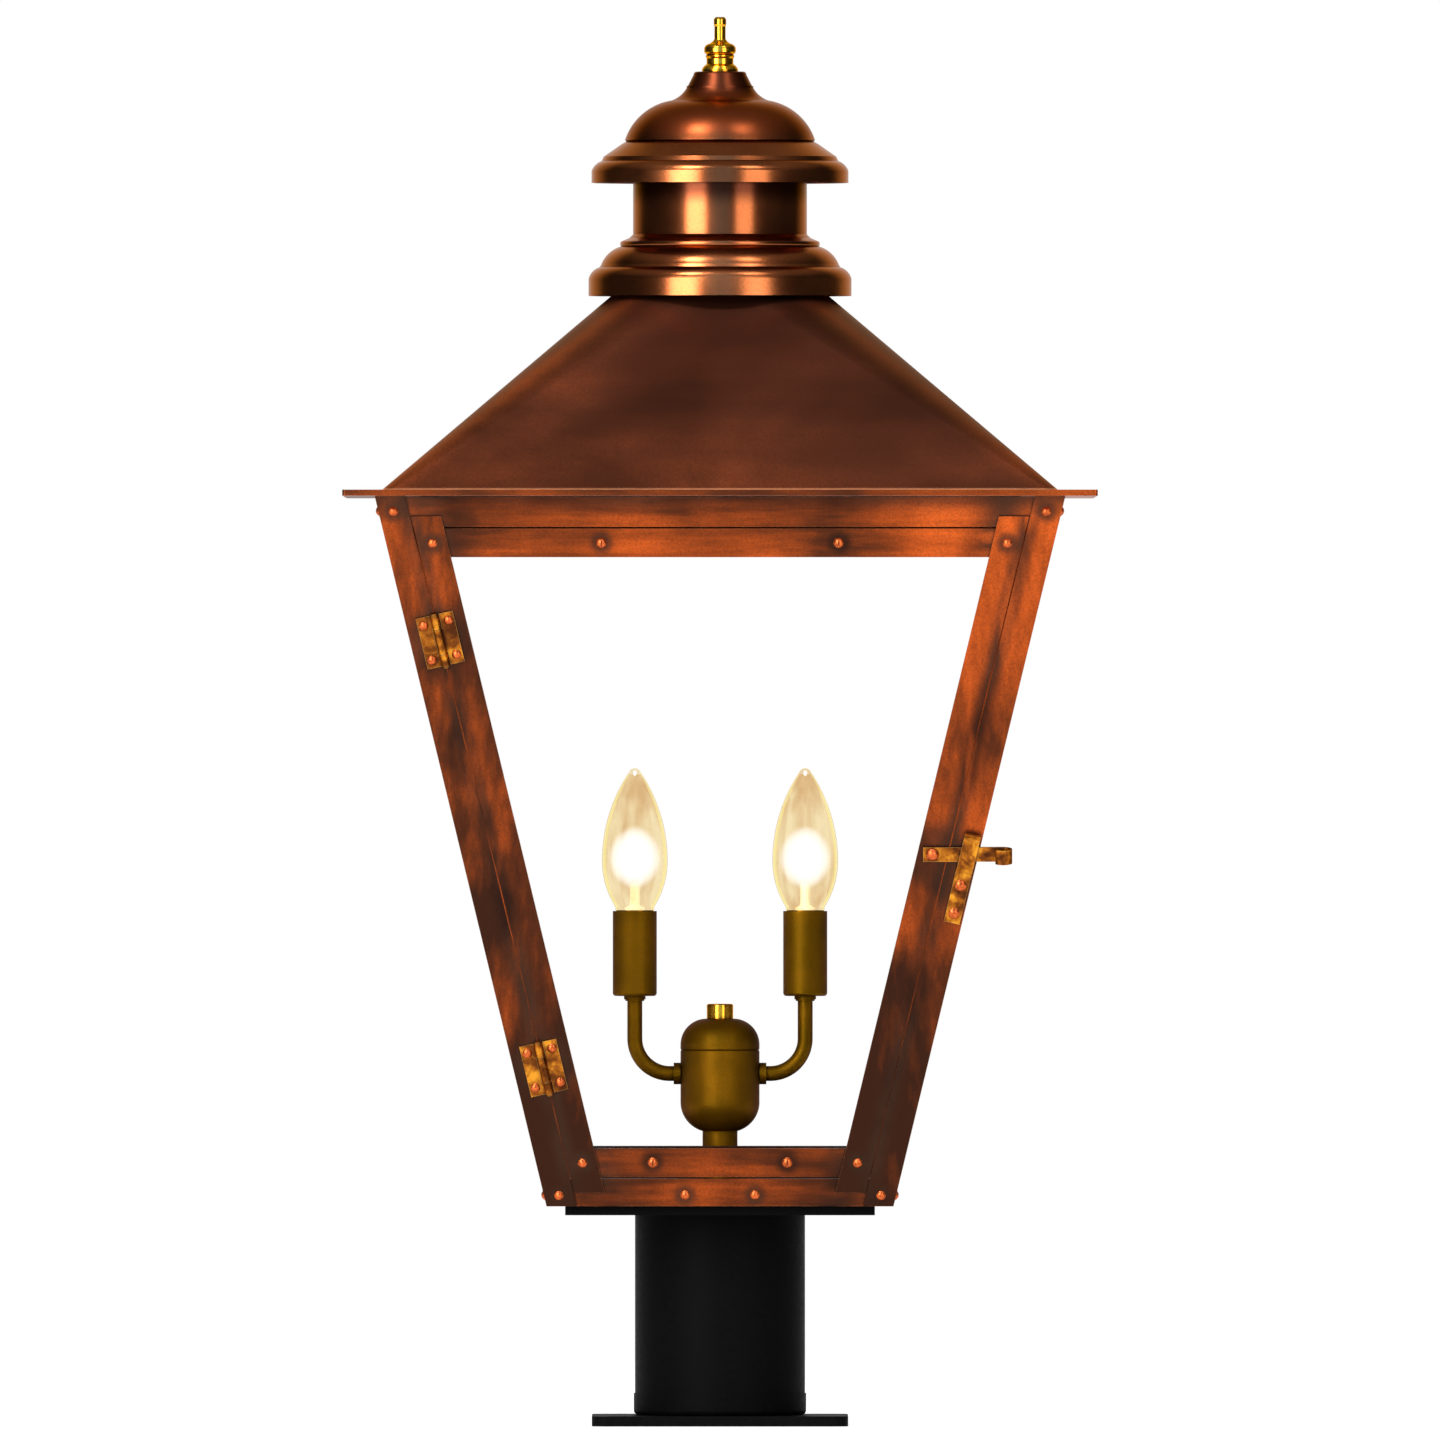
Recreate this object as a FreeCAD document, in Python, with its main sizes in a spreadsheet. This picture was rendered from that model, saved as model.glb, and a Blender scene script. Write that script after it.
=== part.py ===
"""Post top lantern: a square copper lantern with a hinged door, on a round black pedestal.

Millimetres, +Z up. The origin is the middle of the base flange's underside, and the door faces -Y.
Each face of the body leans outward towards the top. A face has its own frame: x runs along the face,
y runs up its slope, and z points out of it, from the middle of its lower edge.
"""

import FreeCAD
import Part
import Sketcher
import math
import os
import re

from FreeCAD import Placement, Rotation, Vector

SIZES = {
    # pedestal
    "flange_side": 128, "flange_thick": 5, "flange_corner": 8,
    "anchor_spacing": 100, "anchor_radius": 3.5,
    "post_bore": 39.1, "tube_radius": 42.5, "tube_wall": 2, "tube_length": 89.5,
    "foot_height": 11, "foot_round": 2.5, "foot_overlap": 0.6,
    "plate_side": 154.5, "plate_thick": 4.5, "plate_corner": 3,
    "bolt_spacing": 120, "bolt_radius": 3, "bolt_head_radius": 6, "bolt_head_height": 3,
    "bolt_length": 12, "nut_radius": 5.6, "nut_height": 5,
    # body frame
    "body_height": 354, "bottom_half": 86.5, "lean": 0.2408, "sheet": 1.2,
    "post_width": 15, "seam": 0.6, "corner_margin": 3, "roof_seat": 0.8,
    "top_rail_width": 16.2, "bottom_rail_width": 13.9, "bottom_rivet_level": 5.5,
    "middle_rivet_spacing": 34.8, "pan_lip": 10, "fit": 0.05,
    # glazing
    "glass_thick": 3, "glass_side": 8, "glass_overlap": 5, "stop_width": 7.5,
    "stop_screw_spacing": 190, "screw_radius": 1.5, "screw_head_radius": 2.7,
    "screw_head_height": 1.6, "screw_slot": 0.8, "screw_end": 1.5,
    # door
    "stile_width": 15, "stile_lap": 7, "stile_lap_top": 5.6, "door_gap": 0.9,
    "door_rail_top_width": 14.6, "door_rail_bottom_width": 14.7, "door_glass_overlap": 3.6,
    "door_glass_side": 7,
    "door_stop_gap": 1, "door_screw_top_spacing": 118, "door_screw_bottom_spacing": 67,
    # rivets
    "rivet_radius": 1.4, "rivet_head_radius": 2.4, "rivet_head_height": 1.3,
    "rivet_tail_radius": 1.9, "rivet_tail_height": 0.9,
    # hinges
    "hinge_inset": 56.5, "leaf_length": 26.5, "leaf_width": 9.4, "leaf_thick": 1,
    "leaf_rivet_across": 6.3, "leaf_rivet_along": 9, "barrel_radius": 2, "barrel_lift": 0.1,
    "pin_radius": 1, "pin_clearance": 0.05, "pin_head": 0.8,
    "pin_head_radius": 1.6, "knuckle_first": 7.4,
    "knuckle_last": 6.4, "knuckle_gap": 0.25, "leaf_notch": 2.35,
    # latch
    "latch_height": 7.3, "latch_thick": 1.5, "latch_lift": 0.3,
    "latch_end": 4.6, "latch_reach": 39.7, "curl_radius": 4.5, "curl_turn": 150,
    "latch_rivet_radius": 2, "latch_rivet_clearance": 0.06, "latch_rivet_head": 3.25,
    "latch_rivet_height": 2, "latch_rivet_tail": 2.6,
    "keeper_inset": 5.3, "keeper_width": 8, "keeper_thick": 1.2, "keeper_space": 0.5,
    "keeper_drop": 1.2, "keeper_joggle": 4.2, "keeper_leg": 27, "keeper_tongue": 9,
    "lip_length": 2.2, "lip_flare": 1.5, "keeper_rivet_upper": 7.4, "keeper_rivet_lower": 22,
    "keeper_rivet_head": 2.85,
    # roof
    "eave_overhang": 16, "eave_thick": 3, "eave_lip": 21.7, "eave_corner": 1.5, "eave_lip_corner": 3,
    "roof_inset": 3.7, "roof_rise": 106.7, "roof_run": 1.85, "hip_foot": 5, "hip_foot_inside": 4,
    "hip_flat": 0.5,
    # vent drum and skirt
    "drum_radius": 43.5, "drum_height": 53,
    "skirt_rim_radius": 65.75, "skirt_base": 100.5, "skirt_rim_height": 8.6,
    "skirt_brow_radius": 60.2, "skirt_brow_height": 14.4, "skirt_brow": 8,
    "skirt_slope_radius": 59.4, "skirt_slope_height": 15.8, "skirt_bulge": 15,
    "skirt_bead_radius": 49.6, "skirt_bead_height": 24.8, "skirt_bead": 2.4,
    "skirt_neck_radius": 45.4, "skirt_neck_height": 29,
    "skirt_top": 30.8,
    # vent cap, heights above its rim
    "cap_base": 157, "cap_rim_radius": 64.25, "cap_rim_height": 6,
    "cap_brow_radius": 59.2, "cap_brow_height": 11, "cap_brow": 8,
    "cap_step_radius": 58.2, "cap_step_height": 13.2,
    "cap_shoulder_radius": 49, "cap_shoulder_height": 19.6, "cap_groove": 0.7,
    "cap_dome_radius": 47.6, "cap_dome_height": 21.4, "cap_dome": 29.5,
    "cap_throat_radius": 24.2, "cap_throat_height": 41.3, "cap_throat": 14,
    "cap_ring_radius": 16.7, "cap_ring_low": 47.5, "cap_ring_high": 48.5, "cap_ring_step": 0.6,
    "cap_nipple_radius": 13.2, "cap_nipple_height": 55.7, "cap_nipple_round": 1.5,
    # tie rod through the vent
    "rod_radius": 2.5, "rod_clearance": 0.1, "rod_bore": 0.2, "bridge_width": 12, "bridge_thick": 2,
    "bridge_level": 40, "bridge_lip": 9, "spacer_radius": 5, "rod_nut_radius": 4.6,
    "rod_nut_height": 4, "rod_tail": 8, "rod_into_finial": 11,
    # finial, heights above the cap
    "finial_foot_radius": 9, "finial_foot": 1.3, "finial_base_radius": 8.2, "finial_base": 2.6,
    "finial_barrel_radius": 6.7, "finial_barrel_low": 3.8, "finial_barrel_high": 6.6,
    "finial_waist_radius": 7.3, "finial_waist": 7.6, "finial_neck": 8.6, "finial_bead_radius": 7.9,
    "finial_bead_low": 9.8, "finial_bead_high": 11.6, "finial_bead": 3,
    "finial_shoulder_radius": 5.7, "finial_shoulder": 13.9, "finial_flare": 5,
    "finial_rod_radius": 2.8, "finial_rod": 16.4,
    "finial_head_radius": 3.1, "finial_head_low": 22.6, "finial_head_taper": 1, "finial_head_high": 26.2,
    "finial_top": 27.3, "finial_top_radius": 2.2,
    # lamp pipe and cluster
    "pipe_radius": 4.75, "pipe_bore": 3.2, "pipe_tail": 7, "locknut_radius": 8, "locknut_height": 4,
    "sleeve_radius": 8.75, "sleeve_wall": 1, "cluster_seat": 37, "cluster_radius": 19.75,
    "cluster_wall": 1.2, "cluster_taper": 14.5, "cluster_taper_round": 15, "cluster_seam": 77.5,
    "cluster_groove": 0.45, "cluster_top": 93.2, "cluster_round": 13, "arm_level": 65.75,
    "top_nut_radius": 6.6, "top_nut_height": 7.4, "top_nut_round": 0.9,
    # arms
    "arm_radius": 3.75, "arm_bore": 2.6, "arm_bend": 17.5, "arm_reach": 42.6, "arm_height": 36.25,
    "arm_inside": 2.5, "collar_radius": 5.4, "collar_length": 3.4,
    # candles
    "cup_radius": 5.4, "cup_step": 0.7, "cup_foot": 0.8, "cup_neck": 2.5, "wire_hole": 2,
    "candle_radius": 11, "candle_wall": 0.8, "candle_height": 42.5, "candle_round": 1.6,
    "socket_radius": 9.4, "socket_top": 39.8, "socket_bore": 6.25, "socket_floor": 15.8,
    # bulbs
    "bulb_base_radius": 5.95, "bulb_collar_radius": 9.4, "bulb_collar": 2, "bulb_lift": 0.4,
    "bulb_contact_radius": 2.6, "bulb_contact": 1.2, "bulb_base_height": 23,
    "glass_neck_radius": 9.7, "glass_neck": 1.6, "glass_belly_radius": 16.4, "glass_belly": 24.6,
    "glass_tip": 71, "glass_tip_radius": 2.9, "glass_tip_drop": 1.9, "glass_tip_thick": 3,
    "bulb_glass_wall": 0.8,
    "mount_radius": 2.4, "mount_height": 12, "mount_flare": 5, "mount_rim": 1.2, "mount_flare_height": 2.5,
}

FACES = ("front", "right", "back", "left")

# lengths that follow from the sizes
SLOPE = "sqrt(1 + lean ^ 2)"
LEAN_SINE = f"(lean / {SLOPE})"
FACE_LENGTH = f"(body_height * {SLOPE})"
SHEET_RUN = f"(sheet * {SLOPE})"
SLANT_HYPOTENUSE = "sqrt(1 + 2 * lean ^ 2)"
SLANT_SINE = f"(lean / {SLANT_HYPOTENUSE})"
SLANT_COSINE = f"({SLOPE} / {SLANT_HYPOTENUSE})"
FOOT_TOP = "(flange_thick + foot_height)"
TUBE_TOP = f"({FOOT_TOP} + tube_length)"
BODY_BOTTOM = f"({TUBE_TOP} + plate_thick)"
PAN_TOP = f"({BODY_BOTTOM} + sheet)"
BODY_TOP = f"({BODY_BOTTOM} + body_height)"
TOP_HALF = "(bottom_half + lean * body_height)"
EAVE_TOP = f"({BODY_TOP} + eave_thick)"
ROOF_TOP = f"({EAVE_TOP} + roof_rise)"
SKIRT_BASE = f"({BODY_TOP} + skirt_base)"
CAP_BASE = f"({BODY_TOP} + cap_base)"
CAP_TOP = f"({CAP_BASE} + cap_nipple_height)"
BRIDGE_LEVEL = f"({ROOF_TOP} + bridge_level)"
CLUSTER_SEAT = f"({BODY_BOTTOM} + cluster_seat)"
CLUSTER_SEAM = f"({BODY_BOTTOM} + cluster_seam)"
CLUSTER_TOP = f"({BODY_BOTTOM} + cluster_top)"
ARM_LEVEL = f"({BODY_BOTTOM} + arm_level)"
ARM_TOP = f"({ARM_LEVEL} + arm_height)"
CANDLE_SEAT = f"({ARM_TOP} + cup_neck)"
CANDLE_TOP = f"({CANDLE_SEAT} + candle_height)"

# depths behind a face, measured out of it
RAIL_BACK = "(-2 * sheet)"
GLASS_BACK = f"({RAIL_BACK} - glass_thick)"
STOP_BACK = f"({GLASS_BACK} - sheet)"
PIN_LEVEL = "(barrel_lift + barrel_radius)"

# heights up a face
TOP_RAIL_TOP = f"({FACE_LENGTH} - roof_seat)"
TOP_RAIL_BOTTOM = f"({FACE_LENGTH} - top_rail_width)"
TOP_RIVET = f"({TOP_RAIL_BOTTOM} + top_rail_width / 2)"
DOOR_TOP = f"({TOP_RAIL_BOTTOM} - door_gap)"
DOOR_BOTTOM = "(bottom_rail_width + door_gap)"
DOOR_TOP_RIVET = f"({DOOR_TOP} - door_rail_top_width / 2)"
DOOR_BOTTOM_RIVET = f"({DOOR_BOTTOM} + door_rail_bottom_width / 2)"
HINGE_LEVELS = (f"({DOOR_TOP} - hinge_inset)", f"({DOOR_BOTTOM} + hinge_inset)")
LATCH_LEVEL = f"(({DOOR_TOP} + {DOOR_BOTTOM}) / 2)"

# insets from a face's slanted edge
DOOR_EDGE = "(post_width + seam)"
STILE_MIDDLE = f"({DOOR_EDGE} + stile_width / 2)"
HINGE_LINE = "(post_width + seam / 2)"

WORDS = re.compile(r"[a-z][a-z_]+")

doc = FreeCAD.newDocument("post_top_lantern")
sheet = doc.addObject("Spreadsheet::Sheet", "Sizes")
for row, (alias, size) in enumerate(SIZES.items(), start=1):
    sheet.set(f"A{row}", alias)
    sheet.set(f"B{row}", str(size))
    sheet.setAlias(f"B{row}", alias)
doc.recompute()

nodes = []


def bound(text):
    """The expression with each size written as a cell of the sheet."""
    return WORDS.sub(lambda word: f"Sizes.{word[0]}" if word[0] in SIZES else word[0], str(text))


def size(text):
    """The number that an expression gives now."""
    return float(sheet.evalExpression(bound(text)))


def at(x="0", y="0", z="0"):
    return Placement(Vector(size(x), size(y), size(z)), Rotation())


def turn(axis, degrees):
    return Placement(Vector(), Rotation(axis, degrees))


def keep(piece, label, placement=None):
    """Name a finished sub-part and set it in its place."""
    piece.Label = label
    if placement is not None:
        piece.Placement = placement
    nodes.append(piece)
    return piece


def keep_group(label, pieces):
    """Pieces that are alike share one sub-part, as separate solids."""
    group = doc.addObject("Part::Compound", label)
    group.Links = pieces
    return keep(group, label)


# ---------------------------------------------------------------- sketches and bodies

def new_body(name):
    return doc.addObject("PartDesign::Body", name)


def sketch_on(body, role, level="0", placement=None):
    """A sketch on one of the body's own origin planes, or on that plane moved by a placement."""
    plane = next(item for item in body.Origin.OriginFeatures if item.Role == role)
    drawing = body.newObject("Sketcher::SketchObject", f"{body.Name}_sketch")
    drawing.AttachmentSupport = (plane, [""])
    drawing.MapMode = "FlatFace"
    if placement is not None:
        drawing.AttachmentOffset = placement
    else:
        drawing.setExpression("AttachmentOffset.Base.z", bound(level))
    return drawing


def flat_point(x, y):
    return Vector(size(x), size(y), 0)


def hold(drawing, kind, geometry, corner, value):
    number = drawing.addConstraint(Sketcher.Constraint(kind, geometry, corner, size(value)))
    drawing.setExpression(f"Constraints[{number}]", bound(value))


def arc_between(start, end, radius):
    """The arc of under half a turn from start to end, to the left for a positive radius."""
    chord = end - start
    middle = (start + end) * 0.5
    side = Vector(-chord.y, chord.x, 0).normalize()
    rise = math.sqrt(radius ** 2 - (chord.Length / 2) ** 2)
    centre = middle + side * (rise if radius > 0 else -rise)
    first, last = (start, end) if radius > 0 else (end, start)
    from_angle = math.atan2(first.y - centre.y, first.x - centre.x)
    to_angle = math.atan2(last.y - centre.y, last.x - centre.x)
    circle = Part.Circle(centre, Vector(0, 0, 1), abs(radius))
    return Part.ArcOfCircle(circle, from_angle, to_angle)


def draw_outline(drawing, outline):
    """A closed outline. A third entry in a corner is the signed radius of the arc that reaches it."""
    corners = [flat_point(corner[0], corner[1]) for corner in outline]
    first = drawing.GeometryCount
    starts, ends = [], []
    for index, start in enumerate(corners):
        following = (index + 1) % len(corners)
        end = corners[following]
        radius = outline[following][2] if len(outline[following]) > 2 else None
        if radius is None:
            number = drawing.addGeometry(Part.LineSegment(start, end))
        else:
            number = drawing.addGeometry(arc_between(start, end, size(radius)))
        backwards = radius is not None and size(radius) < 0
        starts.append((number, 2 if backwards else 1))
        ends.append((number, 1 if backwards else 2))
    for index in range(len(corners)):
        following = starts[(index + 1) % len(corners)]
        drawing.addConstraint(Sketcher.Constraint("Coincident", *ends[index], *following))
    for index, corner in enumerate(outline):
        hold(drawing, "DistanceX", *starts[index], corner[0])
        hold(drawing, "DistanceY", *starts[index], corner[1])
        if len(corner) > 2:
            arc = first + (index - 1) % len(corners)
            value = corner[2].lstrip("-")
            number = drawing.addConstraint(Sketcher.Constraint("Radius", arc, size(value)))
            drawing.setExpression(f"Constraints[{number}]", bound(value))


def draw_circle(drawing, x, y, radius):
    circle = Part.Circle(flat_point(x, y), Vector(0, 0, 1), size(radius))
    number = drawing.addGeometry(circle)
    hold(drawing, "DistanceX", number, 3, x)
    hold(drawing, "DistanceY", number, 3, y)
    constraint = drawing.addConstraint(Sketcher.Constraint("Radius", number, size(radius)))
    drawing.setExpression(f"Constraints[{constraint}]", bound(radius))


def pad(body, drawing, length, midplane=False):
    feature = body.newObject("PartDesign::Pad", f"{body.Name}_pad")
    feature.Profile = drawing
    feature.Midplane = midplane
    feature.setExpression("Length", bound(length))
    return feature


def drill(body, holes, placement, depth):
    """Cut round holes of (x, y, radius) square to a plane, to the depth given on both sides of it."""
    doc.recompute()
    before = body.Shape.Volume
    drawing = sketch_on(body, "XY_Plane", placement=placement)
    for hole in holes:
        draw_circle(drawing, *hole)
    cut = body.newObject("PartDesign::Pocket", f"{body.Name}_holes")
    cut.Profile = drawing
    cut.Midplane = True
    cut.setExpression("Length", bound(f"2 * ({depth})"))
    doc.recompute()
    if not body.Shape.Volume < before:
        raise ValueError(f"{body.Name}: the holes cut nothing")


def plate(name, outline, thick, level="0", holes=()):
    """A flat piece with straight-edged outline and round holes (x, y, radius)."""
    body = new_body(name)
    drawing = sketch_on(body, "XY_Plane", level)
    draw_outline(drawing, outline)
    for hole in holes:
        draw_circle(drawing, *hole)
    pad(body, drawing, thick)
    return body


def turned(name, outline, base="0"):
    """A piece turned about Z from its (radius, height) outline, with heights above the base."""
    body = new_body(name)
    drawing = sketch_on(body, "XZ_Plane")
    raised = [(corner[0], f"{base} + {corner[1]}", *corner[2:]) for corner in outline]
    draw_outline(drawing, raised)
    feature = body.newObject("PartDesign::Revolution", f"{name}_turn")
    feature.Profile = drawing
    feature.ReferenceAxis = (drawing, ["V_Axis"])
    feature.Angle = 360
    return body


def turned_shell(name, curve, wall, base="0"):
    """A spun sheet: the curve, and the same curve moved in and down by the wall."""
    inner = []
    for index in reversed(range(len(curve))):
        radius, height = curve[index][0], curve[index][1]
        corner = [f"({radius}) - {wall}", f"({height}) - {wall}"]
        if index + 1 < len(curve) and len(curve[index + 1]) > 2:
            arc = curve[index + 1][2]
            corner.append(arc[1:] if arc.startswith("-") else f"-{arc}")
        inner.append(tuple(corner))
    inner[0] = (inner[0][0], curve[-1][1], *inner[0][2:])
    inner[-1] = (curve[0][0], *inner[-1][1:])
    return turned(name, list(curve) + inner, base)


def cap_radius(half_width, rise):
    """The radius of the arc that closes a half width with the rise given."""
    return f"((({half_width}) ^ 2 + ({rise}) ^ 2) / (2 * ({rise})))"


def ring(outer, inner, low, high):
    """The outline of a plain ring or tube."""
    return [(inner, low), (outer, low), (outer, high), (inner, high)]


def rounded_square(half, corner):
    """A centred square with rounded corners, as an outline."""
    near = f"({half} - {corner})"
    return [
        (f"-{near}", f"-{half}", corner), (near, f"-{half}"), (half, f"-{near}", corner), (half, near),
        (near, half, corner), (f"-{near}", half), (f"-{half}", near, corner), (f"-{half}", f"-{near}"),
    ]


def placed(shape, placements):
    """Copies of a shape, one at each placement."""
    solids = []
    for placement in placements:
        solid = shape.copy()
        solid.Placement = placement * shape.Placement
        solids.append(solid)
    return solids


def keep_solids(label, solids):
    """One sub-part made of several separate solids, such as its rivets."""
    group = doc.addObject("Part::Feature", label)
    group.Shape = Part.makeCompound(solids)
    return keep(group, label)


def copies(label, shape, placements):
    return keep_solids(label, placed(shape, placements))


def grid(spacing):
    half = f"({spacing} / 2)"
    return [(half, half), (f"-{half}", half), (half, f"-{half}"), (f"-{half}", f"-{half}")]


# ---------------------------------------------------------------- places on the leaning faces

def face_place(index):
    """The frame of one face: 0 is the front, then anticlockwise seen from above."""
    lean_angle = math.degrees(math.atan(size("lean")))
    upright = Rotation(Vector(1, 0, 0), 90 + lean_angle)
    foot = Vector(0, -size("bottom_half"), size(BODY_BOTTOM))
    return turn(Vector(0, 0, 1), 90 * index) * Placement(foot, upright)


def edge(height, inset):
    """Distance from a face's middle line to a line inset from its slanted edge."""
    return f"(bottom_half + ({height}) * {LEAN_SINE} - ({inset}))"


def slanted(side, height, inset, across="0", along="0"):
    """Face coordinates of a point given beside the slanted line at an inset. side is -1 or 1."""
    line_x = f"{side} * {edge(height, inset)}"
    x = f"{line_x} + ({across}) * {SLANT_COSINE} + {side} * ({along}) * {SLANT_SINE}"
    y = f"({height}) - {side} * ({across}) * {SLANT_SINE} + ({along}) * {SLANT_COSINE}"
    return x, y


def slanted_place(side, height, inset):
    """A frame on the front face whose y runs along the slanted line at an inset."""
    slant = math.degrees(math.asin(size(SLANT_SINE)))
    spot = at(f"{side} * {edge(height, inset)}", height)
    return face_place(0) * spot * turn(Vector(0, 0, 1), -side * slant)


def strip(low, high, inset):
    """A band across a face, its ends cut parallel to the slanted edges."""
    return [
        (f"-{edge(low, inset)}", low), (edge(low, inset), low),
        (edge(high, inset), high), (f"-{edge(high, inset)}", high),
    ]


def stile_outline(side, low, high, outer, inner):
    return [
        (f"{side} * {edge(low, outer)}", low), (f"{side} * {edge(high, outer)}", high),
        (f"{side} * {edge(high, inner)}", high), (f"{side} * {edge(low, inner)}", low),
    ]


def pair(x, y, radius):
    return [(x, y, radius), (f"-({x})", y, radius)]


POST_RIVETS = {"top": TOP_RIVET, "bottom": "bottom_rivet_level"}


def corner_holes():
    """Rivet holes where a rail crosses the two posts of its face."""
    return {
        name: pair(edge(level, "post_width / 2"), level, "rivet_radius + fit")
        for name, level in POST_RIVETS.items()
    }


def leaf_rivet_points(side_of_pin):
    """Face coordinates of the four rivets that hold the leaves on one side of the pins."""
    across = f"{side_of_pin} * leaf_rivet_across"
    return [
        slanted(-1, level, HINGE_LINE, across, f"{way} * leaf_rivet_along")
        for level in HINGE_LEVELS for way in (1, -1)
    ]


def keeper_rivet_points():
    return [
        slanted(1, LATCH_LEVEL, "keeper_inset", "0", f"-(latch_height / 2 + keeper_drop + {drop})")
        for drop in ("keeper_joggle + keeper_rivet_upper", "keeper_joggle + keeper_rivet_lower")
    ]


def latch_pivot():
    return edge(LATCH_LEVEL, STILE_MIDDLE), LATCH_LEVEL


# ---------------------------------------------------------------- pedestal

def make_base_flange():
    half = "(flange_side / 2)"
    holes = [(x, y, "anchor_radius") for x, y in grid("anchor_spacing")]
    holes.append(("0", "0", "post_bore"))
    body = plate("base_flange", rounded_square(half, "flange_corner"), "flange_thick", "0", holes)
    keep(body, "base_flange")


def make_pedestal_foot():
    outline = [
        ("post_bore", "0"), ("tube_radius + foot_overlap - foot_round", "0"),
        ("tube_radius + foot_overlap", "foot_round", "foot_round"),
        ("tube_radius + foot_overlap", "foot_height"), ("post_bore", "foot_height"),
    ]
    keep(turned("foot_ring", outline, "flange_thick"), "foot_ring")


def make_pedestal_tube():
    outline = ring("tube_radius", "tube_radius - tube_wall", "0", "tube_length")
    keep(turned("pedestal_tube", outline, FOOT_TOP), "pedestal_tube")


def make_top_plate():
    """The square plate that the lantern is bolted to, countersunk from below for the bolts."""
    half = "(plate_side / 2)"
    holes = [(x, y, "bolt_radius + fit") for x, y in grid("bolt_spacing")]
    holes.append(("0", "0", "pipe_radius + fit"))
    body = plate("top_plate_blank", rounded_square(half, "plate_corner"), "plate_thick", TUBE_TOP, holes)
    sinks = doc.addObject("Part::Compound", "countersinks")
    sinks.Links = [countersink(at(x, y, TUBE_TOP)) for x, y in grid("bolt_spacing")]
    sunk = doc.addObject("Part::Cut", "base_top_plate")
    sunk.Base = body
    sunk.Tool = sinks
    keep(sunk, "base_top_plate")


def countersink(placement):
    """The conical seat of one flat bolt head."""
    cone = doc.addObject("Part::Cone", "countersink")
    cone.setExpression("Radius1", bound("bolt_head_radius + fit"))
    cone.setExpression("Radius2", bound("bolt_radius + fit"))
    cone.setExpression("Height", bound("bolt_head_height"))
    cone.Placement = placement
    return cone


def hexagon(name, radius, height, bore):
    """A hexagonal prism with a bore, standing on its own XY plane."""
    body = new_body(name)
    drawing = sketch_on(body, "XY_Plane")
    apothem = f"({radius} * sqrt(3) / 2)"
    outline = [
        (radius, "0"), (f"{radius} / 2", apothem), (f"-{radius} / 2", apothem),
        (f"-{radius}", "0"), (f"-{radius} / 2", f"-{apothem}"), (f"{radius} / 2", f"-{apothem}"),
    ]
    draw_outline(drawing, outline)
    draw_circle(drawing, "0", "0", bore)
    pad(body, drawing, height)
    return body


def make_base_bolts():
    """Flat-headed bolts, flush with the underside of the plate, and their nuts inside the pan."""
    bolt = turned("bolt_pattern", [
        ("0", "0"), ("bolt_head_radius", "0"), ("bolt_radius", "bolt_head_height"),
        ("bolt_radius", "bolt_length"), ("0", "bolt_length"),
    ])
    nut = hexagon("nut_pattern", "nut_radius", "nut_height", "bolt_radius + fit")
    doc.recompute()
    copies("base_bolts", bolt.Shape, [at(x, y, TUBE_TOP) for x, y in grid("bolt_spacing")])
    copies("base_nuts", nut.Shape, [at(x, y, PAN_TOP) for x, y in grid("bolt_spacing")])


# ---------------------------------------------------------------- body frame

def frustum(name, low, high, half_low):
    """A solid with the body's lean, from one height above its bottom to another."""
    body = new_body(name)
    top = f"({half_low} + ({high} - {low}) * lean)"
    sections = []
    for level, half in ((low, half_low), (high, top)):
        drawing = sketch_on(body, "XY_Plane", f"{BODY_BOTTOM} + {level}")
        corners = [(half, half), (f"-{half}", half), (f"-{half}", f"-{half}"), (half, f"-{half}")]
        draw_outline(drawing, corners)
        sections.append(drawing)
    doc.recompute()
    loft = body.newObject("PartDesign::AdditiveLoft", f"{name}_loft")
    loft.Profile = sections[0]
    loft.Sections = [sections[1]]
    loft.Ruled = True
    return body


def make_floor_pan():
    """A sheet tray inside the bottom rails, with a leaning lip that the rivets go through."""
    outer_half = f"(bottom_half - 2 * {SHEET_RUN} - fit)"
    inner_half = f"({outer_half} - {SHEET_RUN} + sheet * lean)"
    outer = frustum("pan_outside", "0", "(sheet + pan_lip)", outer_half)
    inner = frustum("pan_inside", "sheet", "(sheet + pan_lip)", inner_half)
    tray = doc.addObject("Part::Cut", "pan_tray")
    tray.Base = outer
    tray.Tool = inner
    holes = [(x, y, "bolt_radius + fit") for x, y in grid("bolt_spacing")]
    holes.append(("0", "0", "pipe_radius + fit"))
    drills = [cylinder(f"{BODY_BOTTOM} - sheet", "3 * sheet", radius, at(x, y)) for x, y, radius in holes]
    for index in range(len(FACES)):
        drills += [
            cylinder("-pan_lip", "2 * pan_lip", radius, face_place(index) * at(x, y))
            for x, y, radius in bottom_rivet_holes()
        ]
    cutters = doc.addObject("Part::Compound", "pan_drills")
    cutters.Links = drills
    pan = doc.addObject("Part::Cut", "floor_pan")
    pan.Base = tray
    pan.Tool = cutters
    keep(pan, "floor_pan")


def cylinder(low, height, radius, placement):
    """A round bar along the placement's z, from low, for cutting."""
    bar = doc.addObject("Part::Cylinder", "drill")
    bar.setExpression("Radius", bound(radius))
    bar.setExpression("Height", bound(height))
    bar.Placement = placement * at("0", "0", low)
    return bar


def bottom_rivet_holes():
    middle = pair("middle_rivet_spacing / 2", "bottom_rivet_level", "rivet_radius + fit")
    return corner_holes()["bottom"] + middle


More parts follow.
